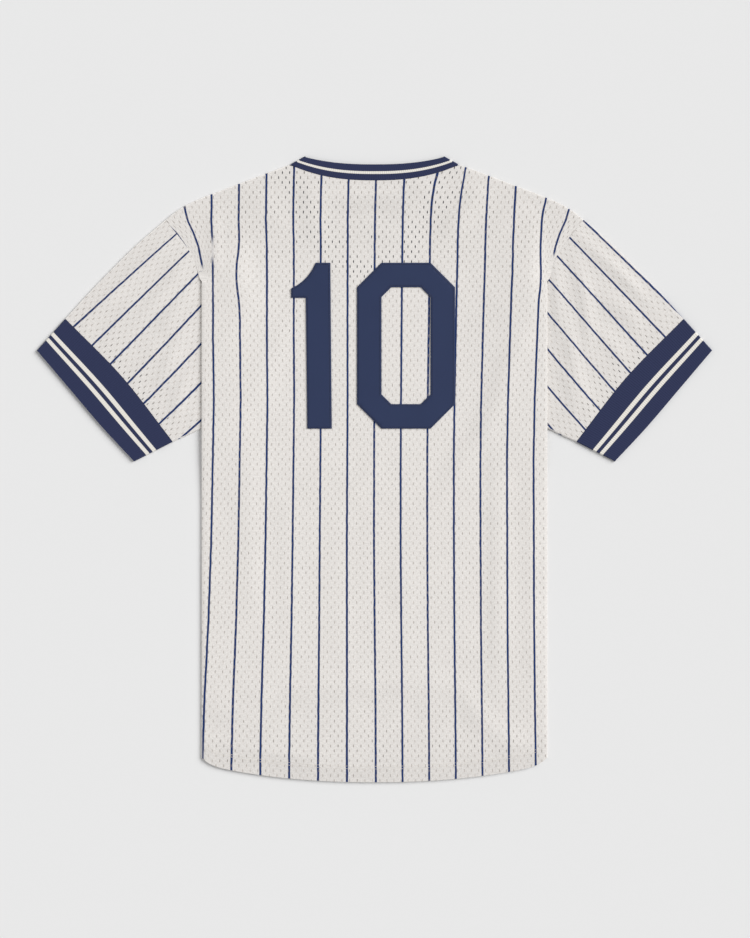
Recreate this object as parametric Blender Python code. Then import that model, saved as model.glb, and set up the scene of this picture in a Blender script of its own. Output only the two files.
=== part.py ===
"""A short-sleeved baseball jersey of pinstriped mesh, lying flat with its back up.

Sizes are in millimetres until a mesh is written. X runs to the right of the picture, Y towards the
neck and Z up from the surface. Each piece is worked out as the middle of its cloth, and a Solidify
modifier gives it its thickness. Layers that cross keep SEAM_GAP between them, and so do pieces that
are sewn edge to edge.
"""
import math
from typing import NamedTuple

import bmesh
import bpy
import numpy as np

MM = 0.001

# Cloth
MESH_CLOTH = 1.0
RIB_KNIT = 1.5
TWILL = 1.0
SEAM_GAP = 0.3

# Body, as it lies with its sides tucked under
HALF_WIDTH = 211.6
HEM_DEPTH = 383.2
HEM_RISE = 22.0
HEM_CORNER = 8.7
SIDE_RETURN = 22.0
SHOULDER_RETURN = 10.0

# Neck
COLLAR_OUTER_HALF = 103.5
COLLAR_OUTER_CENTRE = 353.7
COLLAR_INNER_HALF = 85.0
COLLAR_INNER_CENTRE = 373.0
COLLAR_OUTER_TOP = 373.0
COLLAR_INNER_TOP = 383.2
NECK_POWER = 2.45
FOLD_TRIM = 0.05
ACROSS_BAND = (0.0, 0.5, 1.0)
VEE_INNER_Y = 250.0
VEE_OUTER_Y = 226.0

# Heights of the middle of each layer
LOW_CLOTH = 0.5
LOW_RIB = 0.75
SLEEVE_TOP = 1.8
SLEEVE_TOP_FREE = 2.2
RIB_TOP = 2.55
BACK_TOP = 2.3
RETURN_OVER_SLEEVE = 3.1
BACK_OVER_SLEEVE = 4.4

# Where the folded side edge climbs over the tucked sleeve, from below and from above
CLIMB_LOW = (-45.0, 48.0)
CLIMB_HIGH = (229.0, 285.0)
CLIMB_INWARD = (108.0, 187.0)
FOLD_TOP_Y = CLIMB_HIGH[0]

# Above that fold the back comes down to the sleeve along the armhole seam
SEAM_SETTLE = (237.0, 258.0)
SEAM_SLOPE = (1.0, 26.0)

# Plan lines of the right half, each a smooth curve through a few points
ARMHOLE = ((188.5, 60.0), (190.0, 120.0), (199.0, 180.0), (212.7, 229.0), (226.0, 265.6), (256.0, 305.3))
SHOULDER = ((103.5, 373.0), (160.0, 351.6), (216.0, 330.0), (240.1, 317.5), (256.0, 305.3))
SLEEVE_UPPER = ((256.0, 305.3), (297.7, 268.5), (346.1, 219.5), (378.5, 184.2))
SLEEVE_LOWER = ((188.5, 60.0), (211.6, 50.0), (229.0, 41.5), (247.2, 33.5))
CUFF_INNER = ((247.2, 33.5), (308.5, 112.5), (378.5, 184.2))
CUFF_UPPER = ((378.5, 184.2), (413.4, 145.4))
CUFF_LOWER = ((247.2, 33.5), (294.5, 9.3))
CUFF_OUTER = ((294.5, 9.3), (333.0, 51.0), (373.0, 98.0), (413.4, 145.4))

# Grid of the back panel: columns from the centre to a side, and the heights of its rows
COLUMNS = 11
NECK_COLUMNS = 5
ROW_HEIGHTS = (
    -340, -315, -289, -263, -237, -211, -185, -159, -133, -107, -81, -55, -30, -6,
    15, 31, 48, 70, 94, 118, 142, 166, 190, 211, 229,
)
UPPER_ROWS = 6
NOSE_STEPS = 4


class Fold(NamedTuple):
    """A soft ridge of the cloth along a line, which may be bowed."""

    start: tuple
    end: tuple
    half_width: float
    height: float
    bow: float = 0.0


BACK_FOLDS = (
    Fold((-200, 318), (-196, 240), 16, 1.3),
    Fold((-168, 290), (-160, 186), 18, 1.0),
    Fold((-84, 202), (-172, 84), 20, 1.1, 9),
    Fold((-82, 362), (-64, 270), 17, 0.9),
    Fold((-88, 330), (78, 334), 17, 0.9, 38),
    Fold((136, 356), (72, 276), 17, 1.1, 8),
    Fold((200, 322), (200, 176), 27, 1.6),
    Fold((198, 178), (150, 88), 17, 1.2),
    Fold((158, 104), (88, -22), 18, 1.2, 7),
    Fold((146, 60), (150, -290), 18, 1.0),
    Fold((-152, 40), (-146, -190), 19, 0.8),
    Fold((-204, -308), (-124, -270), 18, 1.2),
    Fold((-158, -276), (124, -264), 18, 1.0, 5),
    Fold((104, -262), (196, -346), 18, 1.3, -14),
)
SLEEVE_FOLDS = (
    Fold((240, 258), (244, 110), 15, 1.2),
    Fold((292, 218), (262, 130), 17, 0.9),
)


class Digit(NamedTuple):
    """A plain block numeral, drawn by its outline and the hole in it."""

    outline: tuple
    hole: tuple


DIGIT_TOP = 252.6
DIGIT_BOTTOM = 49.6
STROKE = 30.0
CHAMFER = 30.0
HOLE_CHAMFER = 12.0
ZERO_LEFT = -21.4
ZERO_RIGHT = 98.6
ONE_LEFT = -84.0
ONE_LEAN = 1.8
FLAG_LENGTH = 18.0
FLAG_DROP = 31.5
FLAG_DEPTH = 11.5
FLAG_HOLLOW = 2.6
DIGIT_GRID = 17.0


def smoothstep(low, high, value):
    """0 below low, 1 above high, and an even blend between them."""
    share = min(max((value - low) / (high - low), 0.0), 1.0)
    return share * share * (3.0 - 2.0 * share)


def resample(line, count):
    """The line's points, spaced evenly along it."""
    steps = np.linalg.norm(np.diff(line, axis=0), axis=1)
    along = np.concatenate([[0.0], np.cumsum(steps)])
    wanted = np.linspace(0.0, along[-1], count)
    return np.stack([np.interp(wanted, along, line[:, axis]) for axis in range(2)], axis=1)


def curve_through(points, count):
    """Evenly spaced points on a smooth curve through the given ones."""
    points = np.array(points, float)
    padded = np.vstack([2 * points[0] - points[1], points, 2 * points[-1] - points[-2]])
    dense = []
    for a, b, c, d in zip(padded, padded[1:], padded[2:], padded[3:]):
        for t in np.linspace(0.0, 1.0, 16, endpoint=False):
            square, cube = t * t, t * t * t
            dense.append(
                0.5 * (2 * b + (c - a) * t + (2 * a - 5 * b + 4 * c - d) * square + (3 * b - a - 3 * c + d) * cube)
            )
    dense.append(points[-1])
    return resample(np.array(dense), count)


def normals_of(line):
    """Unit vectors to the left of the line, seen from above."""
    along = np.gradient(line, axis=0)
    along /= np.linalg.norm(along, axis=1)[:, None]
    return np.stack([-along[:, 1], along[:, 0]], axis=1)


def ridge(folds, x, y):
    """The height that the folds add at a point."""
    total = 0.0
    for fold in folds:
        run = (fold.end[0] - fold.start[0], fold.end[1] - fold.start[1])
        length = math.hypot(*run)
        off = (x - fold.start[0], y - fold.start[1])
        along = (off[0] * run[0] + off[1] * run[1]) / length**2
        inside = min(max(along, 0.0), 1.0)
        across = (off[0] * run[1] - off[1] * run[0]) / length + fold.bow * 4 * inside * (1 - inside)
        fade = smoothstep(-0.15, 0.35, along) * (1 - smoothstep(0.65, 1.15, along))
        total += fold.height * fade * math.exp(-((across / fold.half_width) ** 2))
    return total


def hem_y(x):
    """The curved hem, which turns up into a small corner at each side."""
    share = min(abs(x) / HALF_WIDTH, 1.0)
    return -HEM_DEPTH + HEM_RISE * share**2.2 + HEM_CORNER * share**24


def neck_seam_y(x):
    """The line where the collar is sewn to the back."""
    rise = COLLAR_OUTER_TOP - COLLAR_OUTER_CENTRE
    return COLLAR_OUTER_CENTRE + rise * (abs(x) / COLLAR_OUTER_HALF) ** NECK_POWER


ARMHOLE_HEIGHTS = tuple(reversed(curve_through(ARMHOLE, 60).T.tolist()))


def side_climb(y):
    """From 0 to 1, how far the side edge has climbed over the tucked sleeve."""
    return smoothstep(*CLIMB_LOW, y) * (1 - smoothstep(*CLIMB_HIGH, y))


def back_height(x, y):
    """The middle of the back panel."""
    lift = (BACK_OVER_SLEEVE - BACK_TOP) * side_climb(y) * smoothstep(*CLIMB_INWARD, abs(x))
    from_seam = float(np.interp(y, *ARMHOLE_HEIGHTS)) - abs(x)
    lift *= 1 - smoothstep(*SEAM_SETTLE, y) * (1 - smoothstep(*SEAM_SLOPE, from_seam))
    calm = smoothstep(-HEM_DEPTH, -345, y) * (1 - smoothstep(322, 350, y))
    calm *= 1 - smoothstep(196, 210, abs(x))
    return BACK_TOP + lift + calm * ridge(BACK_FOLDS, x, y)


def armhole_x(y):
    """The armhole seam's place at a height."""
    line = curve_through(ARMHOLE, 60)
    return float(np.interp(y, line[:, 1], line[:, 0]))


def nose(base, outward, top, low, steps=NOSE_STEPS):
    """The points that carry a layer round a fold, after its base and down to the layer below."""
    radius = (top - low) / 2
    points = []
    for step in range(1, steps + 1):
        angle = math.pi * step / steps
        reach = radius * math.sin(angle)
        height = low + radius * (1 + math.cos(angle))
        points.append((base[0] + outward[0] * reach, base[1] + outward[1] * reach, height))
    return points


def clear_scene():
    """Removes whatever the scene starts with."""
    for item in list(bpy.data.objects):
        bpy.data.objects.remove(item, do_unlink=True)


def finish(name, colour, roughness):
    """A material of one piece's cloth."""
    material = bpy.data.materials.new(name)
    material.use_nodes = True
    shader = material.node_tree.nodes["Principled BSDF"]
    shader.inputs["Base Color"].default_value = (*colour, 1.0)
    shader.inputs["Roughness"].default_value = roughness
    shader.inputs["Metallic"].default_value = 0.0
    return material


def add_piece(name, points, faces, wall, material):
    """One piece: its middle surface, thickened to the wall."""
    mesh = bpy.data.meshes.new(name)
    mesh.from_pydata([tuple(c * MM for c in point) for point in points], [], faces)
    mesh.materials.append(material)
    mesh.shade_smooth()
    piece = bpy.data.objects.new(name, mesh)
    bpy.context.scene.collection.objects.link(piece)
    thicken = piece.modifiers.new("wall", "SOLIDIFY")
    thicken.thickness = wall * MM
    thicken.offset = 0.0
    thicken.use_even_offset = True
    return piece


class PointGrid:
    """Points kept by name of their place in a grid, and the faces between them."""

    def __init__(self):
        self.points = []
        self.index = {}
        self.faces = []

    def put(self, key, point):
        self.index[key] = len(self.points)
        self.points.append(tuple(float(c) for c in point))

    def face(self, *keys):
        self.faces.append([self.index[key] for key in keys])


def side_base(y):
    """Where the side fold starts to turn, with the heights above and below it."""
    top = BACK_TOP + (BACK_OVER_SLEEVE - BACK_TOP) * side_climb(min(y, FOLD_TOP_Y))
    low = LOW_CLOTH + (RETURN_OVER_SLEEVE - LOW_CLOTH) * smoothstep(*CLIMB_LOW, y)
    return HALF_WIDTH - MESH_CLOTH / 2 - (top - low) / 2, top, low


def side_return(y, base):
    """How far the cloth runs back under the side fold at a height."""
    if y < ARMHOLE[0][1]:
        return base - (HALF_WIDTH - SIDE_RETURN)
    return max(base - armhole_x(y), 0.8)


def back_plan():
    """Plan points of the back panel's right half, [row][column], out to where its folds start."""
    shares = np.linspace(0.0, 1.0, COLUMNS + 1)
    rows = []
    for height in (None, None, *ROW_HEIGHTS):
        row = []
        for share in shares:
            y = ROW_HEIGHTS[0] if height is None else height
            x = share * side_base(y)[0]
            if height is None:
                y = hem_y(x) if not rows else (hem_y(x) + ROW_HEIGHTS[0]) / 2
            row.append((x, y))
        rows.append(np.array(row))
    return rows + upper_plan(rows[-1])


def upper_plan(below):
    """The rows between the top of the side fold and the neck and shoulder, blended from their edges."""
    armhole = np.array([point for point in curve_through(ARMHOLE, 60) if point[1] > FOLD_TOP_Y])
    side = resample(armhole + normals_of(armhole) * SEAM_GAP, UPPER_ROWS + 1)
    top = top_edge()
    side[0], side[-1] = below[-1], top[-1]
    centre = np.linspace(below[0], top[0], UPPER_ROWS + 1)
    rows = []
    for up in range(1, UPPER_ROWS + 1):
        v = up / UPPER_ROWS
        row = []
        for column in range(COLUMNS + 1):
            u = column / COLUMNS
            corners = (1 - u) * (1 - v) * below[0] + u * (1 - v) * below[-1] + (1 - u) * v * top[0] + u * v * top[-1]
            row.append((1 - v) * below[column] + v * top[column] + (1 - u) * centre[up] + u * side[up] - corners)
        rows.append(np.array(row))
    rows[-1] = top
    return rows


def top_edge():
    """The back panel's upper edge: the neck seam, and then where the shoulder fold starts to turn."""
    neck_x = np.linspace(0.0, COLLAR_OUTER_HALF, NECK_COLUMNS + 1)[:-1]
    neck = [(x, neck_seam_y(x) - SEAM_GAP * 1.1) for x in neck_x]
    shoulder = shoulder_base(COLUMNS - NECK_COLUMNS + 1)
    return np.array([*neck, *shoulder])


def shoulder_base(count):
    """Where the shoulder fold starts to turn, from the neck to the armhole."""
    line = curve_through(SHOULDER, count)
    inset = MESH_CLOTH / 2 + (BACK_TOP - LOW_CLOTH) / 2
    base = line - normals_of(line) * inset
    base[0] += (0.9, -0.4)
    base[-1] += (-0.35, 0.15)
    return base


def shoulder_flap(column):
    """The points of one column past the shoulder fold, and its end under the shoulder."""
    count = COLUMNS - NECK_COLUMNS + 1
    outward = normals_of(curve_through(SHOULDER, count))[column]
    base = shoulder_base(count)[column]
    points = nose(base, outward, BACK_TOP, LOW_CLOTH)
    slant = 0.45 + (-0.30 - 0.45) * column / (count - 1)
    along = np.array([outward[1], -outward[0]])
    end = base - outward * SHOULDER_RETURN + along * slant * SHOULDER_RETURN
    return [*points, (end[0], end[1], LOW_CLOTH)]


def build_back(material):
    """The back: its top layer, its tucked sides and its shoulder folds."""
    grid = PointGrid()
    rows = back_plan()
    fold_rows = len(ROW_HEIGHTS) + 2
    columns = range(-COLUMNS, COLUMNS + 1)
    for j, row in enumerate(rows):
        for k in columns:
            x, y = math.copysign(1, k) * row[abs(k)][0], row[abs(k)][1]
            grid.put((j, k), (x, y, back_height(x, y)))
    for side in (-1, 1):
        for j in range(fold_rows):
            x, y = rows[j][-1]
            base, top, low = side_base(y)
            turn = nose((x, y), (1, 0), top, low)
            inner = x - side_return(y, base)
            stations = [*turn, ((x + inner) / 2, y, low), (inner, y, low)]
            for step, (px, py, pz) in enumerate(stations):
                if j < 2:
                    py = hem_y(min(px, x)) if j == 0 else (hem_y(min(px, x)) + ROW_HEIGHTS[0]) / 2
                grid.put((j, side * (COLUMNS + 1 + step)), (side * px, py, pz))
        for column in range(COLUMNS - NECK_COLUMNS + 1):
            for step, (px, py, pz) in enumerate(shoulder_flap(column)):
                grid.put((len(rows) + step, side * (NECK_COLUMNS + column)), (side * px, py, pz))
    for j in range(len(rows) - 1):
        for k in range(-COLUMNS, COLUMNS):
            grid.face((j, k), (j, k + 1), (j + 1, k + 1), (j + 1, k))
    last = COLUMNS + NOSE_STEPS + 2
    for j in range(fold_rows - 1):
        for k in (*range(-last, -COLUMNS), *range(COLUMNS, last)):
            grid.face((j, k), (j, k + 1), (j + 1, k + 1), (j + 1, k))
    for j in range(len(rows) - 1, len(rows) + NOSE_STEPS):
        for k in (*range(-COLUMNS, -NECK_COLUMNS), *range(NECK_COLUMNS, COLUMNS)):
            grid.face((j, k), (j, k + 1), (j + 1, k + 1), (j + 1, k))
    return add_piece("back_panel", grid.points, grid.faces, MESH_CLOTH, material)


def vee_edge(start, end_y, count):
    """One edge of the front band, from its shoulder fold down to the point of the neck."""
    start = np.array(start, float)
    end = np.array((0.0, end_y))
    middle = np.array((start[0] - 3.0, start[1] - 0.40 * (start[1] - end_y)))
    shares = np.linspace(0.0, 1.0, count)[:, None]
    return (1 - shares) ** 2 * start + 2 * shares * (1 - shares) * middle + shares**2 * end


def front_outline():
    """The front's edge, right half, from the hem's centre round to the point of the neck."""
    side = HALF_WIDTH - SIDE_RETURN - SEAM_GAP
    hem = [(x, hem_y(x)) for x in np.linspace(0.0, side, 12)]
    armhole = curve_through(ARMHOLE, 26)
    armhole = armhole + normals_of(armhole) * SEAM_GAP
    flap = np.array([shoulder_flap(c)[-1][:2] for c in range(COLUMNS - NECK_COLUMNS, -1, -1)])
    shoulder = flap + normals_of(flap) * SEAM_GAP
    armhole = [tuple(p) for p in armhole if p[1] < shoulder[0][1] - 3.0 and p[0] < shoulder[0][0] - 1.0]
    neck = vee_edge(collar_fold()[1], VEE_OUTER_Y, 24)
    neck = neck + normals_of(neck) * SEAM_GAP
    neck[-1][0] = 0.0
    band = [tuple(p) for p in neck if p[1] < shoulder[-1][1] - 2.0]
    shoulder[0] += (-0.4, 0.0)
    shoulder[-1] += (0.15, 0.0)
    return [*hem, *armhole, *[tuple(p) for p in shoulder], *band]


def build_front(material):
    """The front, flat against the surface, with its plain V neck."""
    half = front_outline()
    right = [(x, y, LOW_CLOTH) for x, y in half]
    left = [(-x, y, LOW_CLOTH) for x, y in half[-2:0:-1]]
    points = [*right, *left]
    return add_piece("front_panel", points, [list(range(len(points)))], MESH_CLOTH, material)


def flat_tube(name, near, far, lower, upper, heights, wall, material, side):
    """A sleeve or cuff: a flattened tube between two ends and two folded edges.

    near and far run from the lower fold to the upper one, and lower and upper run from near to far.
    heights(x, y) gives the middle of the top layer and of the layer under it.
    """
    sections, across = len(lower), len(near)
    out_lower, out_upper = -normals_of(lower), normals_of(upper)
    grid = PointGrid()
    ring = 2 * across + 2 * (NOSE_STEPS - 1)
    for i in range(sections):
        a = i / (sections - 1)
        top_row = []
        for j in range(across):
            b = j / (across - 1)
            corners = (1 - a) * (1 - b) * near[0] + (1 - a) * b * near[-1] + a * (1 - b) * far[0] + a * b * far[-1]
            place = (1 - a) * near[j] + a * far[j] + (1 - b) * lower[i] + b * upper[i] - corners
            top, low = heights(*place)
            inset = wall / 2 + (top - low) / 2
            place = place - inset * ((1 - b) ** 3 * out_lower[i] + b**3 * out_upper[i])
            top_row.append((place[0], place[1], top, low))
        first, last = top_row[0], top_row[-1]
        loop = [point[:3] for point in top_row]
        loop += nose(last, out_upper[i], last[2], last[3])[:-1]
        loop += [(point[0], point[1], point[3]) for point in reversed(top_row)]
        loop += nose(first, out_lower[i], first[2], first[3])[-2::-1]
        for step, (x, y, z) in enumerate(loop):
            grid.put((i, step), (side * x, y, z))
    for i in range(sections - 1):
        for step in range(ring):
            after = (step + 1) % ring
            corners = [(i, step), (i + 1, step), (i + 1, after), (i, after)]
            grid.face(*(corners if side > 0 else reversed(corners)))
    return add_piece(name, grid.points, grid.faces, wall, material)


def sleeve_height(side):
    """The sleeve's layers: low under the body's edge, fuller towards the cuff."""

    def heights(x, y):
        free = smoothstep(216, 250, x)
        lower_edge = np.interp(x, [p[0] for p in SLEEVE_LOWER], [p[1] for p in SLEEVE_LOWER])
        calm = free * smoothstep(0, 26, y - lower_edge)
        calm *= 1 - smoothstep(372, 398, x + 0.55 * y)
        calm *= 1 - smoothstep(540, 560, x + y)
        uneven = 1.0 if side > 0 else 0.75
        return SLEEVE_TOP + (SLEEVE_TOP_FREE - SLEEVE_TOP) * free + uneven * calm * ridge(SLEEVE_FOLDS, x, y), LOW_CLOTH

    return heights


def cuff_height(x, y):
    """The cuff's two layers of rib."""
    return RIB_TOP, LOW_RIB


def build_sleeve(name, side, material):
    """A sleeve, from its armhole seam to its cuff seam."""
    near = curve_through(ARMHOLE, 13)
    far = curve_through(CUFF_INNER, 13)
    lower = curve_through(SLEEVE_LOWER, 8)
    upper = curve_through(SLEEVE_UPPER, 8)
    return flat_tube(name, near, far, lower, upper, sleeve_height(side), MESH_CLOTH, material, side)


def build_cuff(name, side, material):
    """A rib cuff, sewn on just past the sleeve's end."""
    shift = np.array([0.75, -0.65]) * SEAM_GAP
    near = curve_through(CUFF_INNER, 13) + shift
    far = curve_through(CUFF_OUTER, 13)
    lower = curve_through((near[0], *CUFF_LOWER[1:]), 5)
    upper = curve_through((near[-1], *CUFF_UPPER[1:]), 5)
    return flat_tube(name, near, far, lower, upper, cuff_height, RIB_KNIT, material, side)


def collar_fold():
    """Where the collar starts to turn over the shoulder: its inner and outer ends, and the way out."""
    inner = np.array((COLLAR_INNER_HALF, COLLAR_INNER_TOP))
    outer = np.array((COLLAR_OUTER_HALF, COLLAR_OUTER_TOP))
    run = (outer - inner) / np.linalg.norm(outer - inner)
    outward = np.array([-run[1], run[0]])
    inset = outward * ((RIB_TOP - LOW_RIB) / 2 + RIB_KNIT / 2)
    base_inner, base_outer = inner - inset, outer - inset
    while base_outer[1] < neck_seam_y(base_outer[0]):
        base_outer = base_outer - run * FOLD_TRIM
    return base_inner, base_outer, outward


def build_collar(material):
    """The rib collar: one ring, which folds at the shoulders and meets at the front's point."""
    base_inner, base_outer, outward = collar_fold()
    half = []
    for share in np.linspace(0.0, 1.0, 9):
        rise = (base_inner[1] - COLLAR_INNER_CENTRE) * share**NECK_POWER
        inner = np.array((share * base_inner[0], COLLAR_INNER_CENTRE + rise))
        outer = np.array((share * base_outer[0], neck_seam_y(share * base_outer[0])))
        half.append([(*(inner + (outer - inner) * w), RIB_TOP) for w in ACROSS_BAND])
    turns = [nose(base_inner + (base_outer - base_inner) * w, outward, RIB_TOP, LOW_RIB) for w in ACROSS_BAND]
    half += [list(points) for points in zip(*turns)]
    inner = vee_edge(base_inner, VEE_INNER_Y, 10)
    outer = vee_edge(base_outer, VEE_OUTER_Y, 10)
    for start, end in zip(inner[1:], outer[1:]):
        half.append([(*(start + (end - start) * w), LOW_RIB) for w in ACROSS_BAND])
    left = [[(-x, y, z) for x, y, z in section] for section in half[-2:0:-1]]
    ring = half + left
    grid = PointGrid()
    for i, section in enumerate(ring):
        for w, point in enumerate(section):
            grid.put((i, w), point)
    for i in range(len(ring)):
        after = (i + 1) % len(ring)
        for w in range(len(ACROSS_BAND) - 1):
            grid.face((i, w), (i, w + 1), (after, w + 1), (after, w))
    return add_piece("collar", grid.points, grid.faces, RIB_KNIT, material)


def octagon(left, right, bottom, top, chamfer):
    """A rectangle with its corners cut."""
    return (
        (left + chamfer, bottom), (right - chamfer, bottom), (right, bottom + chamfer), (right, top - chamfer),
        (right - chamfer, top), (left + chamfer, top), (left, top - chamfer), (left, bottom + chamfer),
    )


def zero_digit():
    """The 0: a tall octagon with a tall octagonal hole."""
    outer = octagon(ZERO_LEFT, ZERO_RIGHT, DIGIT_BOTTOM, DIGIT_TOP, CHAMFER)
    hole = octagon(
        ZERO_LEFT + STROKE, ZERO_RIGHT - STROKE, DIGIT_BOTTOM + STROKE, DIGIT_TOP - STROKE, HOLE_CHAMFER
    )
    return Digit(outer, hole)


def one_digit():
    """The 1: a stem with a short flag at its top left."""
    flag_left = ONE_LEFT - FLAG_LENGTH
    tip = np.array((ONE_LEFT + 0.4 * STROKE, DIGIT_TOP))
    run = np.array((flag_left, DIGIT_TOP - FLAG_DROP)) - tip
    inward = np.array((-run[1], run[0])) / np.linalg.norm(run)
    upper_edge = [tip + run * s + inward * FLAG_HOLLOW * 4 * s * (1 - s) for s in (0.25, 0.5, 0.75)]
    outline = (
        (ONE_LEFT + ONE_LEAN, DIGIT_BOTTOM),
        (ONE_LEFT + ONE_LEAN + STROKE, DIGIT_BOTTOM),
        (ONE_LEFT + STROKE, DIGIT_TOP),
        tuple(tip),
        *[tuple(place) for place in upper_edge],
        (flag_left, DIGIT_TOP - FLAG_DROP),
        (flag_left, DIGIT_TOP - FLAG_DROP - FLAG_DEPTH),
        (ONE_LEFT, DIGIT_TOP - FLAG_DROP - FLAG_DEPTH),
    )
    return Digit(outline, ())


def build_digit(name, digit, material):
    """A twill numeral laid on the back panel: its points are the panel's, moved out."""
    shape = bmesh.new()
    outer = [shape.verts.new((x, y, 0.0)) for x, y in digit.outline]
    hole = [shape.verts.new((x, y, 0.0)) for x, y in digit.hole]
    if hole:
        for i in range(len(outer)):
            after = (i + 1) % len(outer)
            shape.faces.new((outer[i], outer[after], hole[after], hole[i]))
    else:
        shape.faces.new(outer)
    cuts = [((x, 0, 0), (1, 0, 0)) for x in np.arange(-104, 104, DIGIT_GRID)]
    cuts += [((0, y, 0), (0, 1, 0)) for y in np.arange(40, 260, DIGIT_GRID)]
    for place, normal in cuts:
        everything = shape.verts[:] + shape.edges[:] + shape.faces[:]
        bmesh.ops.bisect_plane(shape, geom=everything, plane_co=place, plane_no=normal, dist=0.01)
    rise = MESH_CLOTH / 2 + SEAM_GAP + TWILL / 2
    for vert in shape.verts:
        vert.co.z = back_height(vert.co.x, vert.co.y) + rise
    shape.verts.index_update()
    points = [tuple(vert.co) for vert in shape.verts]
    faces = [[vert.index for vert in face.verts] for face in shape.faces]
    shape.free()
    return add_piece(name, points, faces, TWILL, material)


def main():
    """Builds every piece of the jersey."""
    clear_scene()
    cloth = finish("pinstriped mesh", (0.73, 0.69, 0.65), 0.85)
    navy_rib = finish("navy rib knit", (0.030, 0.035, 0.088), 0.9)
    navy_twill = finish("navy twill", (0.040, 0.052, 0.112), 0.6)
    build_back(cloth)
    build_front(cloth)
    for name, side in (("left", -1), ("right", 1)):
        build_sleeve(f"sleeve_{name}", side, cloth)
        build_cuff(f"cuff_{name}", side, navy_rib)
    build_collar(navy_rib)
    build_digit("digit_one", one_digit(), navy_twill)
    build_digit("digit_zero", zero_digit(), navy_twill)


main()
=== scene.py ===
"""The looks of a short-sleeved baseball jersey of pinstriped mesh, lying flat with its back up.

Lengths are in millimetres until a mesh is written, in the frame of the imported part: X to the right of
the picture, Y towards the neck and Z up from the surface that the jersey lies on. Every piece of cloth
is worked out as the middle of its wall, on the form of the solid that it replaces, and then thickened.
"""
import logging
import math
from collections.abc import Callable
from dataclasses import dataclass, field
from enum import Enum

import bmesh
import bpy
import numpy as np
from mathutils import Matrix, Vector


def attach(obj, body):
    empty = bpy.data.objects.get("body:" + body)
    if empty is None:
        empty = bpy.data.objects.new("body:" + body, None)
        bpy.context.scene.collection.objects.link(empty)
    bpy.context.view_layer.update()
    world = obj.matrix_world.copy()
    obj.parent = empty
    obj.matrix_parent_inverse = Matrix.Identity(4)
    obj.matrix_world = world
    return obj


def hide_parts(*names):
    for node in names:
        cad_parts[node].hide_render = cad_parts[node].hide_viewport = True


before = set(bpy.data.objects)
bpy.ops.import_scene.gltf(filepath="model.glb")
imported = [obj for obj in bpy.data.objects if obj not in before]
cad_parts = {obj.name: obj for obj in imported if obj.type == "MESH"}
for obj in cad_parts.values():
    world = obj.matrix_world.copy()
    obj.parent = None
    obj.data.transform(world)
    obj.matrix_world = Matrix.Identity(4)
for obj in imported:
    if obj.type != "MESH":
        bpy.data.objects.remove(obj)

LOG = logging.getLogger("jersey")
MM = 0.001
SHARP_ANGLE = math.radians(48)
PICTURE_HEIGHT = 938
MM_PER_PIXEL = 1.225


class Side(Enum):
    """A side of the garment, as the sign of X there."""

    LEFT = -1
    RIGHT = 1


class Slot(Enum):
    """The record's material slots."""

    MESH = "jersey_mesh"
    RIB = "rib_knit"
    TWILL = "number_twill"


# Small tools for numbers and lines


def smoothstep(low: float, high: float, value: np.ndarray | float) -> np.ndarray | float:
    """0 below low, 1 above high, and an even blend between them."""
    share = np.clip((value - low) / (high - low), 0.0, 1.0)
    return share * share * (3.0 - 2.0 * share)


def between(rise: tuple, fall: tuple, value: np.ndarray | float) -> np.ndarray | float:
    """1 between two slopes and 0 outside them, where each slope is given by its two ends."""
    return smoothstep(*rise, value) * (1 - smoothstep(*fall, value))


def bell(value: np.ndarray | float, middle: float, reach: float, power: int = 2) -> np.ndarray | float:
    """1 at the middle, falling away on both sides, with a flatter top where the power is higher."""
    return np.exp(-(((value - middle) / reach) ** power))


def resample(line: np.ndarray, count: int) -> np.ndarray:
    """Spaces points evenly along a line.

    Args:
        line: the line's points, one a row.
        count: how many points to return.

    Returns:
        The new points.
    """
    along = length_along(line)
    wanted = np.linspace(0.0, along[-1], count)
    return np.stack([np.interp(wanted, along, line[:, axis]) for axis in range(line.shape[1])], axis=1)


def curve_through(points: tuple, count: int) -> np.ndarray:
    """Draws a smooth curve through a few points.

    Args:
        points: the plan points that the curve passes.
        count: how many evenly spaced points to return.

    Returns:
        The curve's points.
    """
    given = np.array(points, float)
    padded = np.vstack([2 * given[0] - given[1], given, 2 * given[-1] - given[-2]])
    dense = []
    for a, b, c, d in zip(padded, padded[1:], padded[2:], padded[3:]):
        for t in np.linspace(0.0, 1.0, 24, endpoint=False):
            bend = (2 * a - 5 * b + 4 * c - d) * t**2 + (3 * b - a - 3 * c + d) * t**3
            dense.append(0.5 * (2 * b + (c - a) * t + bend))
    dense.append(given[-1])
    return resample(np.array(dense), count)


def normals_of(line: np.ndarray) -> np.ndarray:
    """Unit vectors to the left of a plan line, seen from above."""
    along = np.gradient(line, axis=0)
    along /= np.linalg.norm(along, axis=1)[:, None]
    return np.stack([-along[:, 1], along[:, 0]], axis=1)


def length_along(line: np.ndarray) -> np.ndarray:
    """The distance of each point of a line from its start."""
    return np.concatenate([[0.0], np.cumsum(np.linalg.norm(np.diff(line, axis=0), axis=1))])


def linear(hex_colour: str) -> tuple[float, float, float, float]:
    """An sRGB hex colour as linear red, green, blue and alpha."""
    parts = [int(hex_colour[i : i + 2], 16) / 255 for i in (1, 3, 5)]
    return (*[c / 12.92 if c <= 0.04045 else ((c + 0.055) / 1.055) ** 2.4 for c in parts], 1.0)


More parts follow.
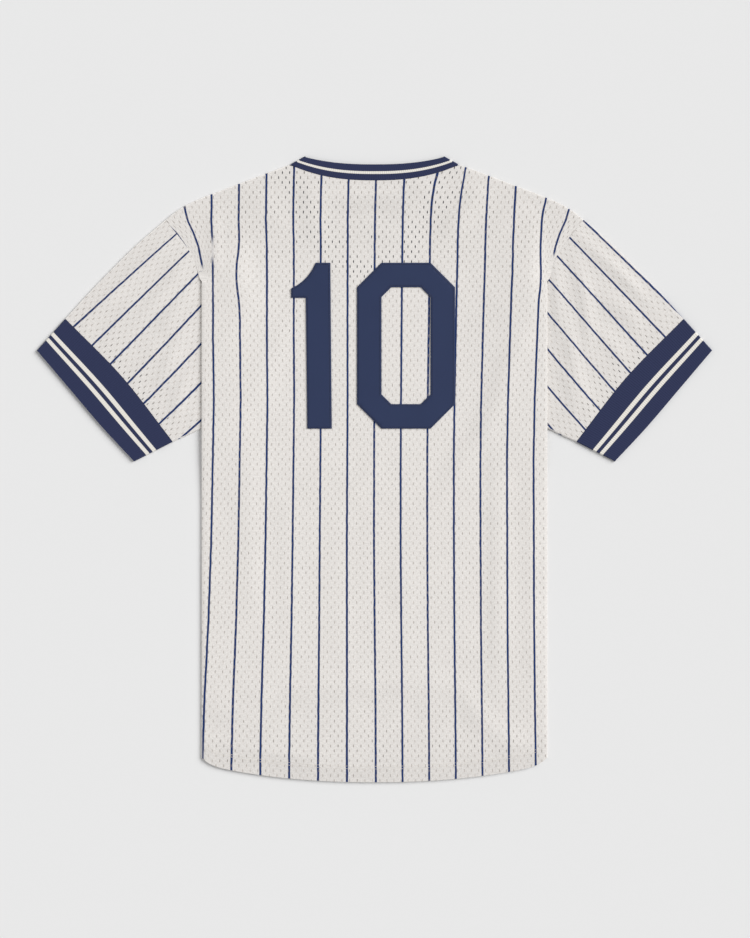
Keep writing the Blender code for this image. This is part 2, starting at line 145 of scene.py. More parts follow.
def blended(below: np.ndarray, above: np.ndarray, left: np.ndarray, right: np.ndarray) -> np.ndarray:
    """Fills a plan patch evenly between its four edges.

    Args:
        below: the first row's places, from left to right.
        above: the last row's.
        left: the first column's places, from below to above.
        right: the last column's.

    Returns:
        Plan places, as rows by columns by 2.
    """
    a = np.linspace(0.0, 1.0, len(left))[:, None, None]
    b = np.linspace(0.0, 1.0, len(below))[None, :, None]
    corners = (1 - a) * ((1 - b) * below[0] + b * below[-1]) + a * ((1 - b) * above[0] + b * above[-1])
    return (1 - a) * below[None] + a * above[None] + (1 - b) * left[:, None] + b * right[:, None] - corners


def mirrored(right: np.ndarray) -> np.ndarray:
    """The plan places of both halves, from those of the right half."""
    return np.concatenate([right[:, :0:-1] * (-1, 1), right], axis=1)


def at_height(plan: np.ndarray, height: float) -> np.ndarray:
    """Plan places all at one height."""
    return np.concatenate([plan, np.full((*plan.shape[:2], 1), height)], axis=2)


def rib_places(middle: np.ndarray, pitch: float) -> np.ndarray:
    """How far round a closed band each point is, stretched so that a whole number of ribs fits."""
    around = length_along(np.vstack([middle, middle[:1]]))
    return around[:-1] / around[-1] * np.round(around[-1] / pitch) * pitch


def put(name: str, data: bpy.types.ID) -> bpy.types.Object:
    """Adds an object to the scene."""
    made = bpy.data.objects.new(name, data)
    bpy.context.scene.collection.objects.link(made)
    return made


def add_wall(rough: bpy.types.Object, wall: float, even: bool) -> None:
    """Gives a middle surface its thickness in mm, half of it on each side."""
    thicken = rough.modifiers.new("wall", "SOLIDIFY")
    thicken.thickness = wall * MM
    thicken.offset = 0.0
    thicken.use_even_offset = even


def feed(tree: bpy.types.NodeTree, node: bpy.types.Node, inputs: dict) -> None:
    """Gives a node its inputs, each a value or the socket that drives it."""
    for key, value in inputs.items():
        if isinstance(value, bpy.types.NodeSocket):
            tree.links.new(value, node.inputs[key])
        else:
            node.inputs[key].default_value = value


def add_node(
    tree: bpy.types.NodeTree, kind: str, *values: object, out: int | str = 0,
    inputs: dict | None = None, **settings: object,
) -> bpy.types.NodeSocket | bpy.types.Node:
    """Adds a node with its inputs and its settings.

    Args:
        tree: the node tree that takes it.
        kind: the node's type.
        values: its first inputs in their order, each a value or the socket that drives it.
        out: the name or number of the output that is wanted.
        inputs: other inputs, by name or number.
        settings: the node's own properties.

    Returns:
        The output, or the node itself where it has none.
    """
    made = tree.nodes.new(kind)
    for name, value in settings.items():
        setattr(made, name, value)
    feed(tree, made, {**dict(enumerate(values)), **(inputs or {})})
    return made.outputs[out] if made.outputs else made


# The garment's sizes and the heights of its layers


def within(line: tuple, x: np.ndarray, y: np.ndarray) -> np.ndarray:
    """How far some places are to the left of the straight run from a line's first point to its last."""
    (x0, y0), (x1, y1) = line[0], line[-1]
    return ((x1 - x0) * (y - y0) - (y1 - y0) * (x - x0)) / math.hypot(x1 - x0, y1 - y0)


@dataclass(frozen=True)
class Crease:
    """A soft ridge along a gently bowed line, or a trough where its height is negative."""

    start: tuple[float, float]
    end: tuple[float, float]
    half_width: float
    height: float
    bow: float = 0.0
    skew: float = 0.0

    def height_at(self, x: np.ndarray, y: np.ndarray) -> np.ndarray:
        """What the crease adds at some places.

        Args:
            x: plan places across.
            y: plan places along.

        Returns:
            The added height at each place.
        """
        run = np.array(self.end) - np.array(self.start)
        length = float(np.hypot(*run))
        off_x, off_y = x - self.start[0], y - self.start[1]
        along = (off_x * run[0] + off_y * run[1]) / length**2
        across = (off_x * run[1] - off_y * run[0]) / length
        inside = np.clip(along, 0.0, 1.0)
        across = across + self.bow * 4 * inside * (1 - inside)
        width = self.half_width * (1 + self.skew * np.tanh(across / self.half_width))
        fade = smoothstep(-0.12, 0.35, along) * (1 - smoothstep(0.65, 1.12, along))
        return self.height * fade * np.exp(-((across / width) ** 2))


def ripple(creases: tuple[Crease, ...], x: np.ndarray, y: np.ndarray) -> np.ndarray:
    """The height that several creases add together."""
    return sum((crease.height_at(x, y) for crease in creases), np.zeros(np.shape(x)))


def unrest(x: np.ndarray, y: np.ndarray, seed: float = 0.0) -> np.ndarray:
    """A slow, uneven wave from -1 to 1, as soft cloth has where it lies almost flat."""
    bent_x = x + 17 * np.sin(y / 41 + seed) + 9 * np.sin(y / 19 + 2)
    bent_y = y + 15 * np.sin(x / 37 + 1 + seed) + 8 * np.sin(x / 23)
    waves = ((46.0, 0.3, 0.9), (61.0, 1.7, 2.2), (83.0, 2.6, 4.0), (39.0, 2.2, 5.1))
    total = np.zeros(np.shape(x))
    for size, angle, phase in waves:
        along = bent_x * math.cos(angle) + bent_y * math.sin(angle)
        total = total + np.sin(2 * math.pi * along / size + phase + seed)
    return total / len(waves)


@dataclass(frozen=True)
class Garment:
    """The jersey's sizes as it lies, and the plan lines and heights that its pieces share."""

    mesh_wall: float = 1.0
    rib_wall: float = 1.5
    twill_wall: float = 1.0
    seam_gap: float = 0.3
    seam_allowance: float = 6.0
    half_width: float = 211.6
    hem_depth: float = 383.2
    hem_rise: float = 22.0
    hem_corner: float = 8.7
    hem_turn_up: float = 19.5
    side_return: float = 22.0
    side_flatness: float = 0.5
    shoulder_return: float = 10.0
    collar_outer: tuple[float, float, float] = (103.5, 373.0, 353.7)
    collar_inner: tuple[float, float, float] = (85.0, 383.2, 373.0)
    neck_power: float = 2.45
    vee_inner: float = 250.0
    vee_outer: float = 226.0
    low_cloth: float = 0.5
    low_rib: float = 0.75
    rib_top: float = 2.55
    sleeve_top: float = 1.8
    sleeve_top_free: float = 2.2
    back_top: float = 2.3
    return_over_sleeve: float = 3.1
    back_over_sleeve: float = 4.4
    climb_low: tuple[float, float] = (-45.0, 48.0)
    climb_high: tuple[float, float] = (229.0, 285.0)
    climb_inward: tuple[float, float] = (108.0, 187.0)
    seam_settle: tuple[float, float] = (228.0, 239.0)
    seam_slope: tuple[float, float] = (1.0, 26.0)
    hem_top: float = -340.0
    number_x: tuple = ((-120, -100), (98, 118))
    number_y: tuple = ((30, 50), (252, 272))
    armhole: tuple = (
        (188.5, 60.0), (190.0, 120.0), (199.0, 180.0), (212.7, 229.0), (226.0, 265.6), (256.0, 305.3),
    )
    shoulder: tuple = ((103.5, 373.0), (160.0, 351.6), (216.0, 330.0), (240.1, 317.5), (256.0, 305.3))
    sleeve_upper: tuple = ((256.0, 305.3), (297.7, 268.5), (346.1, 219.5), (378.5, 184.2))
    sleeve_lower: tuple = ((188.5, 60.0), (211.6, 50.0), (229.0, 41.5), (247.2, 33.5))
    cuff_inner: tuple = ((247.2, 33.5), (308.5, 112.5), (378.5, 184.2))
    cuff_upper: tuple = ((378.5, 184.2), (413.4, 145.4))
    cuff_lower: tuple = ((247.2, 33.5), (294.5, 9.3))
    cuff_outer: tuple = ((294.5, 9.3), (333.0, 51.0), (373.0, 98.0), (413.4, 145.4))

    def hem_y(self, x: np.ndarray | float) -> np.ndarray | float:
        """The curved hem's edge at a distance from the centre."""
        share = np.minimum(np.abs(x) / self.half_width, 1.0)
        return -self.hem_depth + self.hem_rise * share**2.2 + self.hem_corner * share**24

    def neck_seam_y(self, x: np.ndarray | float) -> np.ndarray | float:
        """The seam between collar and back."""
        half, top, centre = self.collar_outer
        return centre + (top - centre) * (np.abs(x) / half) ** self.neck_power

    def armhole_x(self, y: np.ndarray | float) -> np.ndarray | float:
        """How far out the armhole seam is at a height."""
        line = curve_through(self.armhole, 200)
        return np.interp(y, line[:, 1], line[:, 0])

    def side_climb(self, y: np.ndarray | float) -> np.ndarray | float:
        """From 0 to 1, how far the side edge has climbed over the tucked sleeve."""
        return between(self.climb_low, self.climb_high, y)

    def side_fold(self, y: np.ndarray | float) -> tuple:
        """Where the side starts to turn, and the heights over and under the turn."""
        lift = self.back_over_sleeve - self.back_top
        top = self.back_top + lift * self.side_climb(np.minimum(y, self.climb_high[0]))
        low = self.low_cloth + (self.return_over_sleeve - self.low_cloth) * smoothstep(*self.climb_low, y)
        return self.half_width - self.mesh_wall / 2 - self.side_flatness * (top - low) / 2, top, low


BODY = Garment()

# The back's main creases: those beside the armholes, the hanging ones at the neck, the long soft ones
# down the right, and the slack above the hem.
BACK_CREASES = (
    Crease((-200, 318), (-196, 240), 12, 1.4, 0, 0.3),
    Crease((-168, 290), (-160, 186), 18, 1.1, -3, 0.2),
    Crease((-132, 224), (-206, 150), 14, 0.9, 5),
    Crease((-84, 202), (-172, 84), 19, 1.2, 9),
    Crease((-150, 346), (-104, 290), 14, 0.9, -3),
    Crease((-82, 372), (-64, 270), 14, 1.1, -4),
    Crease((-88, 330), (78, 334), 15, 1.1, 38),
    Crease((-56, 272), (58, 276), 13, 0.5, 16),
    Crease((84, 376), (22, 296), 12, 1.0, 6),
    Crease((140, 366), (72, 276), 14, 1.3, 8),
    Crease((188, 338), (104, 264), 15, 1.0, 9),
    Crease((200, 322), (200, 176), 30, 1.7, 0, 0.35),
    Crease((198, 178), (150, 88), 14, 1.3, -5),
    Crease((158, 104), (88, -22), 15, 1.4, 7),
    Crease((116, 40), (66, -52), 13, 0.7, 5),
    Crease((14, 30), (-34, -40), 11, 0.45, 3),
    Crease((146, 60), (150, -290), 14, 1.2, 3, -0.35),
    Crease((196, 34), (198, -312), 13, 1.1, 0, 0.3),
    Crease((-152, 40), (-146, -190), 15, 0.8, -5, 0.2),
    Crease((-112, -30), (-108, -250), 14, 0.45, 4),
    Crease((-52, -50), (-44, -240), 13, 0.3, 4),
    Crease((36, -80), (46, -262), 13, 0.3, -4),
    Crease((-204, -308), (-124, -270), 14, 1.3, -7),
    Crease((-158, -276), (124, -264), 15, 1.2, 5),
    Crease((104, -262), (196, -346), 15, 1.4, -14),
    Crease((-176, -350), (-40, -364), 9, 0.8, 3),
    Crease((-60, -326), (124, -334), 14, 0.5, 5),
)
SLEEVE_CREASES = {
    Side.LEFT: (
        Crease((236, 292), (356, 180), 9, 1.3, 3),
        Crease((222, 266), (316, 160), 9, 1.2, -4),
        Crease((218, 226), (262, 170), 9, 1.1, 3),
        Crease((222, 180), (262, 104), 10, 1.1, 5),
        Crease((262, 150), (300, 104), 9, 0.9),
        Crease((226, 120), (244, 60), 9, 1.0, 3),
        Crease((290, 214), (338, 146), 8, 0.7),
        Crease((252, 236), (296, 196), 8, -0.4),
    ),
    Side.RIGHT: (
        Crease((232, 300), (352, 186), 9, 1.2, 5),
        Crease((246, 262), (262, 140), 9, 1.4, 5),
        Crease((234, 206), (266, 56), 9, 1.2, -6),
        Crease((222, 262), (226, 150), 8, 1.1),
        Crease((276, 214), (330, 166), 11, 1.1, 6),
        Crease((268, 176), (306, 128), 10, 1.0, 3),
        Crease((226, 130), (246, 62), 8, 0.9, 4),
        Crease((288, 262), (328, 220), 8, 0.6),
    ),
}


def back_height(x: np.ndarray, y: np.ndarray) -> np.ndarray:
    """The middle of the back panel's top layer.

    Args:
        x: plan places across.
        y: plan places along.

    Returns:
        The height at each place.
    """
    wide = np.abs(x)
    inward = smoothstep(*BODY.climb_inward, wide)
    from_seam = BODY.armhole_x(y) - wide
    settled = smoothstep(*BODY.seam_settle, y) * (1 - smoothstep(*BODY.seam_slope, from_seam))
    lift = (BODY.back_over_sleeve - BODY.back_top) * BODY.side_climb(y) * inward * (1 - settled)
    sewn_down = 0.3 * between((236, 250), (290, 303), y) * (1 - smoothstep(0, 12, from_seam))
    calm = between((-BODY.hem_depth, -364), (334, 368), y) * (1 - smoothstep(190, 211, wide))
    shoulder = 1 - smoothstep(-26, -8, y - np.interp(wide, *np.array(BODY.shoulder).T))
    number = between(*BODY.number_x, x) * between(*BODY.number_y, y)
    soft = ripple(BACK_CREASES, x, y) * (1 - 0.75 * number) + 0.22 * unrest(x, y) * (1 - 0.6 * number)
    hem = y - BODY.hem_y(x)
    turn_up = 0.35 * (1 - smoothstep(BODY.hem_turn_up - 1.5, BODY.hem_turn_up + 1.0, hem))
    pucker = 0.10 * np.sin(2 * math.pi * x / 8.3 + np.sin(x / 19.0)) * bell(hem, BODY.hem_turn_up, 4.0)
    level = BODY.back_top + lift - sewn_down
    folds = np.maximum(calm * shoulder * soft, -0.42)
    return level + folds + turn_up * (1 - smoothstep(206, 210, wide)) + pucker


# Building of cloth


SHARES = ("open_share", "tone", "squeeze", "printed")


@dataclass
class ClothMesh:
    """Gathers the middle surface of one piece, with its place on the cloth, and turns it into a wall."""

    points: list = field(default_factory=list)
    cloth: list = field(default_factory=list)
    shares: dict = field(default_factory=lambda: {label: [] for label in SHARES})
    faces: list = field(default_factory=list)
    count: int = 0

    def add(
        self, points: np.ndarray, cloth: np.ndarray, open_share: np.ndarray | float = 0.0,
        tone: np.ndarray | float = 0.0, squeeze: np.ndarray | float = 1.0, printed: np.ndarray | float = 1.0,
    ) -> np.ndarray:
        """Adds a grid of points.

        Args:
            points: places, as rows by columns by 3.
            cloth: places on the cut cloth in mm, as rows by columns by 2.
            open_share: how dark the cloth's holes are painted, standing for the gap under the cloth in shade
                and for navy lying beneath, as rows by columns.
            tone: how much lighter or darker the cloth looks, from its own tone and from painted light and
                shade, as rows by columns.
            squeeze: how much more cloth than surface there is across the stripes.
            printed: how much of the stripes' ink shows.

        Returns:
            The points' numbers, as rows by columns.
        """
        shape = points.shape[:2]
        self.points.append(points.reshape(-1, 3))
        self.cloth.append(cloth.reshape(-1, 2))
        for values, given in zip(self.shares.values(), (open_share, tone, squeeze, printed)):
            values.append(np.broadcast_to(given, shape).reshape(-1))
        index = self.count + np.arange(shape[0] * shape[1]).reshape(shape)
        self.count += index.size
        return index

    def join(self, index: np.ndarray) -> None:
        """Adds the faces between a grid's points."""
        corners = (index[:-1, :-1], index[:-1, 1:], index[1:, 1:], index[1:, :-1])
        self.faces.append(np.stack(corners, axis=-1).reshape(-1, 4))

    def make(
        self, name: str, wall: float, material: bpy.types.Material, flip: bool = False
    ) -> bpy.types.Object:
        """Makes the piece.

        Args:
            name: the object's name.
            wall: the cloth's thickness in mm.
            material: its finish.
            flip: whether its faces have to be turned round, as on a mirrored piece.

        Returns:
            The finished object, with no modifier left on it.
        """
        faces = np.concatenate(self.faces)
        if flip:
            faces = faces[:, ::-1]
        mesh = bpy.data.meshes.new(name)
        mesh.from_pydata((np.concatenate(self.points) * MM).tolist(), [], faces.tolist())
        corner = np.empty(len(mesh.loops), np.int32)
        mesh.loops.foreach_get("vertex_index", corner)
        layer = mesh.uv_layers.new(name="Cloth")
        layer.data.foreach_set("uv", np.concatenate(self.cloth)[corner].astype(np.float32).ravel())
        for label, values in self.shares.items():
            attribute = mesh.attributes.new(label, "FLOAT", "POINT")
            attribute.data.foreach_set("value", np.concatenate(values).astype(np.float32))
        mesh.materials.append(material)
        rough = put(f"{name}_middle", mesh)
        add_wall(rough, wall, True)
        return finished(rough, name)


def finished(rough: bpy.types.Object, name: str) -> bpy.types.Object:
    """Turns an object with modifiers into a plain mesh object.

    Args:
        rough: the object to read; it is removed.
        name: the new object's name.

    Returns:
        The plain object.
    """
    graph = bpy.context.evaluated_depsgraph_get()
    final = rough.evaluated_get(graph)
    mesh = bpy.data.meshes.new_from_object(final, preserve_all_data_layers=True, depsgraph=graph)
    bpy.data.objects.remove(rough, do_unlink=True)
    mesh.name = name
    mesh.shade_smooth()
    mesh.set_sharp_from_angle(angle=SHARP_ANGLE)
    return put(name, mesh)


def nose(
    base: np.ndarray, outward: np.ndarray, top: np.ndarray, low: np.ndarray, steps: int, flatness: float = 1.0
) -> np.ndarray:
    """Carries cloth round a fold.

    Args:
        base: plan places where the cloth starts to turn, one a row.
        outward: unit vectors out of the fold, one a row.
        top: the height over the fold, one a row.
        low: the height under the fold, one a row.
        steps: how many points the turn has.
        flatness: 1 for a round fold, and less for one that is pressed.

    Returns:
        Places as rows by steps by 3, after the base and down to the layer below.
    """
    angle = math.pi * np.arange(1, steps + 1) / steps
    radius = ((top - low) / 2)[:, None]
    reach = flatness * radius * np.sin(angle)[None, :]
    height = low[:, None] + radius * (1 + np.cos(angle))[None, :]
    plan = base[:, None, :] + outward[:, None, :] * reach[:, :, None]
    return np.concatenate([plan, height[:, :, None]], axis=2)


@dataclass(frozen=True)
class StripeRow:
    """How the pinstripes lie at one height: their pitch on each side and where the middle one is."""

    y: float
    left: float
    right: float
    centre: float
    outer: float


@dataclass(frozen=True)
class Pull:
    """A place where a crease has pulled the pinstripes aside."""

    at: tuple[float, float]
    reach: tuple[float, float]
    shift: float

    def shift_at(self, x: np.ndarray, y: np.ndarray) -> np.ndarray:
        """How far the stripes are pulled to the right at some places."""
        return self.shift * bell(x, self.at[0], self.reach[0]) * bell(y, self.at[1], self.reach[1])


@dataclass(frozen=True)
class BackStripes:
    """The drift of the back's pinstripes, which close up beyond the sixth, where the cloth is gathered."""

    pitch: float = 32.9
    outer_from: float = 6.15
    last_end_left: float = 241.0
    last_end_right: float = 256.0
    pulls: tuple[Pull, ...] = (
        Pull((92, 384), (30, 42), 10.0),
        Pull((-168, 238), (18, 30), -4.6),
        Pull((206, 338), (20, 20), 4.6),
        Pull((206, 232), (20, 18), 1.6),
    )
    rows: tuple[StripeRow, ...] = (
        StripeRow(-383, 35.4, 32.6, 2.2, 33.0),
        StripeRow(-350, 35.3, 32.6, 2.0, 33.0),
        StripeRow(-283, 34.9, 32.5, 1.7, 33.0),
        StripeRow(-185, 33.9, 32.5, 0.6, 33.0),
        StripeRow(-87, 33.2, 32.6, -0.2, 33.0),
        StripeRow(11, 32.9, 32.5, 0.0, 33.0),
        StripeRow(85, 32.7, 32.7, 0.2, 33.0),
        StripeRow(164, 32.9, 33.2, 0.3, 20.0),
        StripeRow(226, 32.9, 33.6, 0.4, 6.5),
        StripeRow(240, 32.9, 33.7, 0.5, 8.1),
        StripeRow(256, 33.0, 33.8, 0.6, 11.6),
        StripeRow(272, 33.0, 33.8, 0.7, 15.3),
        StripeRow(288, 33.2, 33.9, 0.9, 20.6),
        StripeRow(304, 33.4, 34.0, 1.1, 28.3),
        StripeRow(323, 33.4, 34.1, 1.4, 33.5),
        StripeRow(345, 33.5, 34.2, 2.0, 34.0),
        StripeRow(367, 33.7, 34.3, 3.2, 35.0),
    )

    def number(self, x: np.ndarray, y: np.ndarray) -> tuple[np.ndarray, np.ndarray]:
        """Counts the stripes from the middle one, and finds how much the cloth is gathered.

        Args:
            x: plan places across.
            y: plan places along.

        Returns:
            The stripe's number at each place, and the squeeze there.
        """
        heights = [row.y for row in self.rows]
        centre, left, right, outer = (
            np.interp(y, heights, [getattr(row, name) for row in self.rows])
            for name in ("centre", "left", "right", "outer")
        )
        off = x - centre - sum(pull.shift_at(x, y) for pull in self.pulls)
        side_pitch = np.where(off < 0, left, right)
        inner = np.abs(off) / side_pitch
        past = np.maximum(inner - self.outer_from, 0.0) * side_pitch
        count = np.minimum(inner, self.outer_from) + past / outer
        end = self.last_end(x)
        count = np.where(y < end, np.minimum(count, self.outer_from + 0.3), count)
        squeeze = np.where((inner > self.outer_from) & (y >= end), self.pitch / outer, 1.0)
        return np.sign(off) * count, squeeze

    def last_end(self, x: np.ndarray) -> np.ndarray:
        """Where the last stripe ends at the armhole, on each side."""
        return np.where(x < 0, self.last_end_left, self.last_end_right)

    def across(self, x: np.ndarray, y: np.ndarray) -> np.ndarray:
        """Where a place lies across the cut cloth, in mm from its middle stripe."""
        return self.number(x, y)[0] * self.pitch

    def printed(self, x: np.ndarray, y: np.ndarray) -> np.ndarray:
        """How much ink shows: the seventh stripes end at the seam, and a crease hides part of another."""
        number, _ = self.number(x, y)
        end = self.last_end(x)
        ended = smoothstep(6.46, 6.5, np.abs(number)) * (1 - smoothstep(end + 4, end + 9, y))
        creased = 0.9 * bell(y, 268, 13.0, 4) * (1 - smoothstep(0.3, 0.45, np.abs(number + 6)))
        return 1 - np.maximum(ended, creased)


@dataclass(frozen=True)
class SleeveStripes:
    """The pinstripes of a sleeve, each by its end at the body and its end at the cuff."""

    pitch: float = 31.8
    lines: dict = field(
        default_factory=lambda: {
            Side.LEFT: (
                ((240.9, 290.0), (367.3, 174.3)),
                ((226.1, 264.5), (346.1, 150.9)),
                ((217.6, 238.0), (323.8, 127.5)),
                ((213.4, 199.8), (302.6, 103.1)),
                ((212.7, 150.9), (283.5, 78.8)),
                ((213.4, 102.0), (264.4, 54.3)),
                ((213.4, 59.7), (231.4, 41.5)),
            ),
            Side.RIGHT: (
                ((251.1, 309.0), (376.7, 184.8)),
                ((233.5, 287.3), (355.3, 164.8)),
                ((220.1, 263.0), (332.7, 141.4)),
                ((212.3, 234.1), (310.7, 117.4)),
                ((211.7, 191.2), (291.9, 94.0)),
                ((211.7, 145.6), (276.0, 73.4)),
                ((211.2, 101.1), (256.9, 49.0)),
                ((211.7, 53.3), (222.2, 43.7)),
            ),
        }
    )

    def across(self, side: Side, x: np.ndarray, y: np.ndarray) -> np.ndarray:
        """Where a place of a sleeve lies across its cut cloth, in mm, by a smooth fit through its stripes."""
        places, numbers = [], []
        for number, (start, end) in enumerate(self.lines[side]):
            for share in np.linspace(0.0, 1.0, 5):
                places.append(np.array(start) * (1 - share) + np.array(end) * share)
                numbers.append(float(number))
        found, *_ = np.linalg.lstsq(self.terms(*np.array(places).T), np.array(numbers), rcond=None)
        return (self.terms(x.ravel(), y.ravel()) @ found).reshape(x.shape) * self.pitch

    @staticmethod
    def terms(x: np.ndarray, y: np.ndarray) -> np.ndarray:
        """The terms of a cubic surface over the sleeve, one row for each place."""
        u, v = (x - 280) / 100, (y - 150) / 100
        return np.stack([u**i * v**j for i in range(4) for j in range(4 - i)], axis=1)


BACK_STRIPES = BackStripes()
SLEEVE_STRIPES = SleeveStripes()


# Finishes

MATH = "ShaderNodeMath"
VECTOR = "ShaderNodeVectorMath"
NOISE = "ShaderNodeTexNoise"
RANGE = "ShaderNodeMapRange"
MIX = "ShaderNodeMix"


@dataclass(frozen=True)
class Finish:
    """A plain shader whose inputs come from the nodes of a real material."""

    name: str

    def look(self, tree: bpy.types.NodeTree) -> dict:
        """The shader's inputs by name, each a value or the socket of a node added to the tree."""
        raise NotImplementedError

    def material(self) -> bpy.types.Material:
        """Builds the finish.

        Returns:
            The material.
        """
        made = bpy.data.materials.new(self.name)
        made.use_nodes = True
        tree = made.node_tree
        feed(tree, tree.nodes["Principled BSDF"], self.look(tree))
        return made


def wave(tree: bpy.types.NodeTree, place: bpy.types.NodeSocket, pitch: float) -> bpy.types.NodeSocket:
    """Adds a cosine of a place, once a pitch."""
    turn = add_node(tree, MATH, place, 2 * math.pi / pitch, operation="MULTIPLY")
    return add_node(tree, MATH, turn, operation="COSINE")


@dataclass(frozen=True)
class MeshCloth(Finish):
    """Warp-knitted polyester mesh with printed pinstripes: matt, with staggered tall holes."""

    name: str = "polyester mesh, pinstriped"
    ground: str = "#E4E0DC"
    # The holes' painted colours: cream in shade, and near black for the shaded gap and the navy beneath.
    shaded_cream_in_holes: str = "#AF9F90"
    navy_and_shade_in_holes: str = "#2C2A30"
    navy: str = "#0B2C62"
    stripe_pitch: float = 32.9
    stripe_half_width: float = 1.28
    stripe_soft: float = 0.35
    stripe_wander: float = 0.9
    hole_across: float = 8.7
    hole_along: float = 12.1
    hole_half_width: float = 0.62
    hole_half_height: float = 2.0
    lattice: float = 0.018
    grain: float = 0.8
    brightness: float = 0.97
    cloudiness: float = 0.06
    roughness: float = 0.82

    def look(self, tree: bpy.types.NodeTree) -> dict:
        """The shader's inputs, from the piece's place on its cloth."""
        cloth = add_node(tree, "ShaderNodeUVMap", uv_map="Cloth")
        across = add_node(tree, "ShaderNodeSeparateXYZ", cloth)
        along = across.node.outputs["Y"]
        hole_shading, tone, squeeze, printed = (
            add_node(tree, "ShaderNodeAttribute", attribute_name=label, out="Fac") for label in SHARES
        )
        noises = ((0.09, 1.0, 0.5), (0.5, 4.0, 0.8), (0.02, 2.0, 0.5), (0.055, 2.0, 0.5))
        labels = ("Vector", "Scale", "Detail", "Roughness")
        wander, knit, broad, patchy = (
            add_node(tree, NOISE, inputs=dict(zip(labels, (cloth, *noise)))) for noise in noises
        )
        drift = add_node(tree, MATH, wander, self.stripe_wander, across, operation="MULTIPLY_ADD")
        turns = add_node(tree, MATH, drift, self.stripe_pitch, operation="DIVIDE")
        off = add_node(tree, MATH, turns, 0.5, -0.5, operation="WRAP")
        off = add_node(tree, MATH, off, operation="ABSOLUTE")
        off = add_node(tree, MATH, off, squeeze, operation="DIVIDE")
        soft = self.stripe_soft
        edges = [(self.stripe_half_width + shift) / self.stripe_pitch for shift in (soft, -soft)]
        stripe = add_node(tree, RANGE, off, *edges, interpolation_type="SMOOTHSTEP")
        stripe = add_node(tree, MATH, stripe, printed, operation="MULTIPLY")
        weft, warp = wave(tree, across, self.hole_across), wave(tree, along, self.hole_along)
        check = add_node(tree, MATH, weft, warp, operation="MULTIPLY")
        light = self.brightness - self.grain / 2
        # The tone attribute brings in painted light and shade as well as tone: the fold edges, the shade
        # under the collar and above the hem.
        tones = ((knit, self.grain), (check, -self.lattice), (broad, self.cloudiness), (tone, 1.0))
        for socket, share in tones:
            light = add_node(tree, MATH, socket, share, light, operation="MULTIPLY_ADD")
        ground = add_node(tree, VECTOR, linear(self.ground)[:3], inputs={"Scale": light}, operation="SCALE")
        hole = self.holes(tree, across, along)
        # Painted shade in the holes: each hole shows from a shaded cream to near black, standing for the gap
        # under the cloth in shade and, over the front's neck band, for its navy; the piece's attribute and a
        # patchy noise set how far.
        patch = add_node(tree, RANGE, patchy, 0.32, 0.68, 0.2, 1.6)
        depth = add_node(tree, MATH, hole_shading, patch, operation="MULTIPLY", use_clamp=True)
        seen = add_node(tree, RANGE, depth, 0.0, 1.0, 0.3, 1.0)
        dark = add_node(tree, MATH, seen, hole, operation="MULTIPLY", use_clamp=True)
        shades = {"Factor": depth, "A": linear(self.shaded_cream_in_holes), "B": linear(self.navy_and_shade_in_holes)}
        shadow = add_node(tree, MIX, inputs=shades, out="Result", data_type="RGBA")
        dyes = {"Factor": stripe, "A": ground, "B": linear(self.navy)}
        dyed = add_node(tree, MIX, inputs=dyes, out="Result", data_type="RGBA")
        colours = {"Factor": dark, "A": dyed, "B": shadow}
        relief = add_node(tree, MATH, knit, hole, operation="SUBTRACT")
        return {
            "Base Color": add_node(tree, MIX, inputs=colours, out="Result", data_type="RGBA"),
            "Normal": add_node(
                tree, "ShaderNodeBump", inputs={"Strength": 0.35, "Distance": 0.3 * MM, "Height": relief}
            ),
            "Roughness": self.roughness, "Sheen Weight": 0.12, "Sheen Roughness": 0.5,
            "Specular IOR Level": 0.3,
        }

    def holes(
        self, tree: bpy.types.NodeTree, across: bpy.types.NodeSocket, along: bpy.types.NodeSocket
    ) -> bpy.types.NodeSocket:
        """Adds the staggered holes.

        Args:
            tree: the material's tree.
            across: the place across the cloth, in mm.
            along: the place along the cloth, in mm.

        Returns:
            A socket that is 1 inside a hole and 0 outside.
        """
        sizes = (
            (across, self.hole_across, self.hole_half_width), (along, self.hole_along, self.hole_half_height),
        )
        reaches = []
        for shift in (0.0, 0.5):
            offs = []
            for place, pitch, half in sizes:
                turn = add_node(tree, MATH, place, 1 / pitch, shift, operation="MULTIPLY_ADD")
                near = add_node(tree, MATH, turn, 0.5, -0.5, operation="WRAP")
                offs.append(add_node(tree, MATH, near, pitch / half, operation="MULTIPLY"))
            pair = add_node(tree, "ShaderNodeCombineXYZ", *offs)
            reaches.append(add_node(tree, VECTOR, pair, out="Value", operation="LENGTH"))
        nearest = add_node(tree, MATH, *reaches, operation="MINIMUM")
        return add_node(tree, RANGE, nearest, 1.2, 0.7, interpolation_type="SMOOTHSTEP")


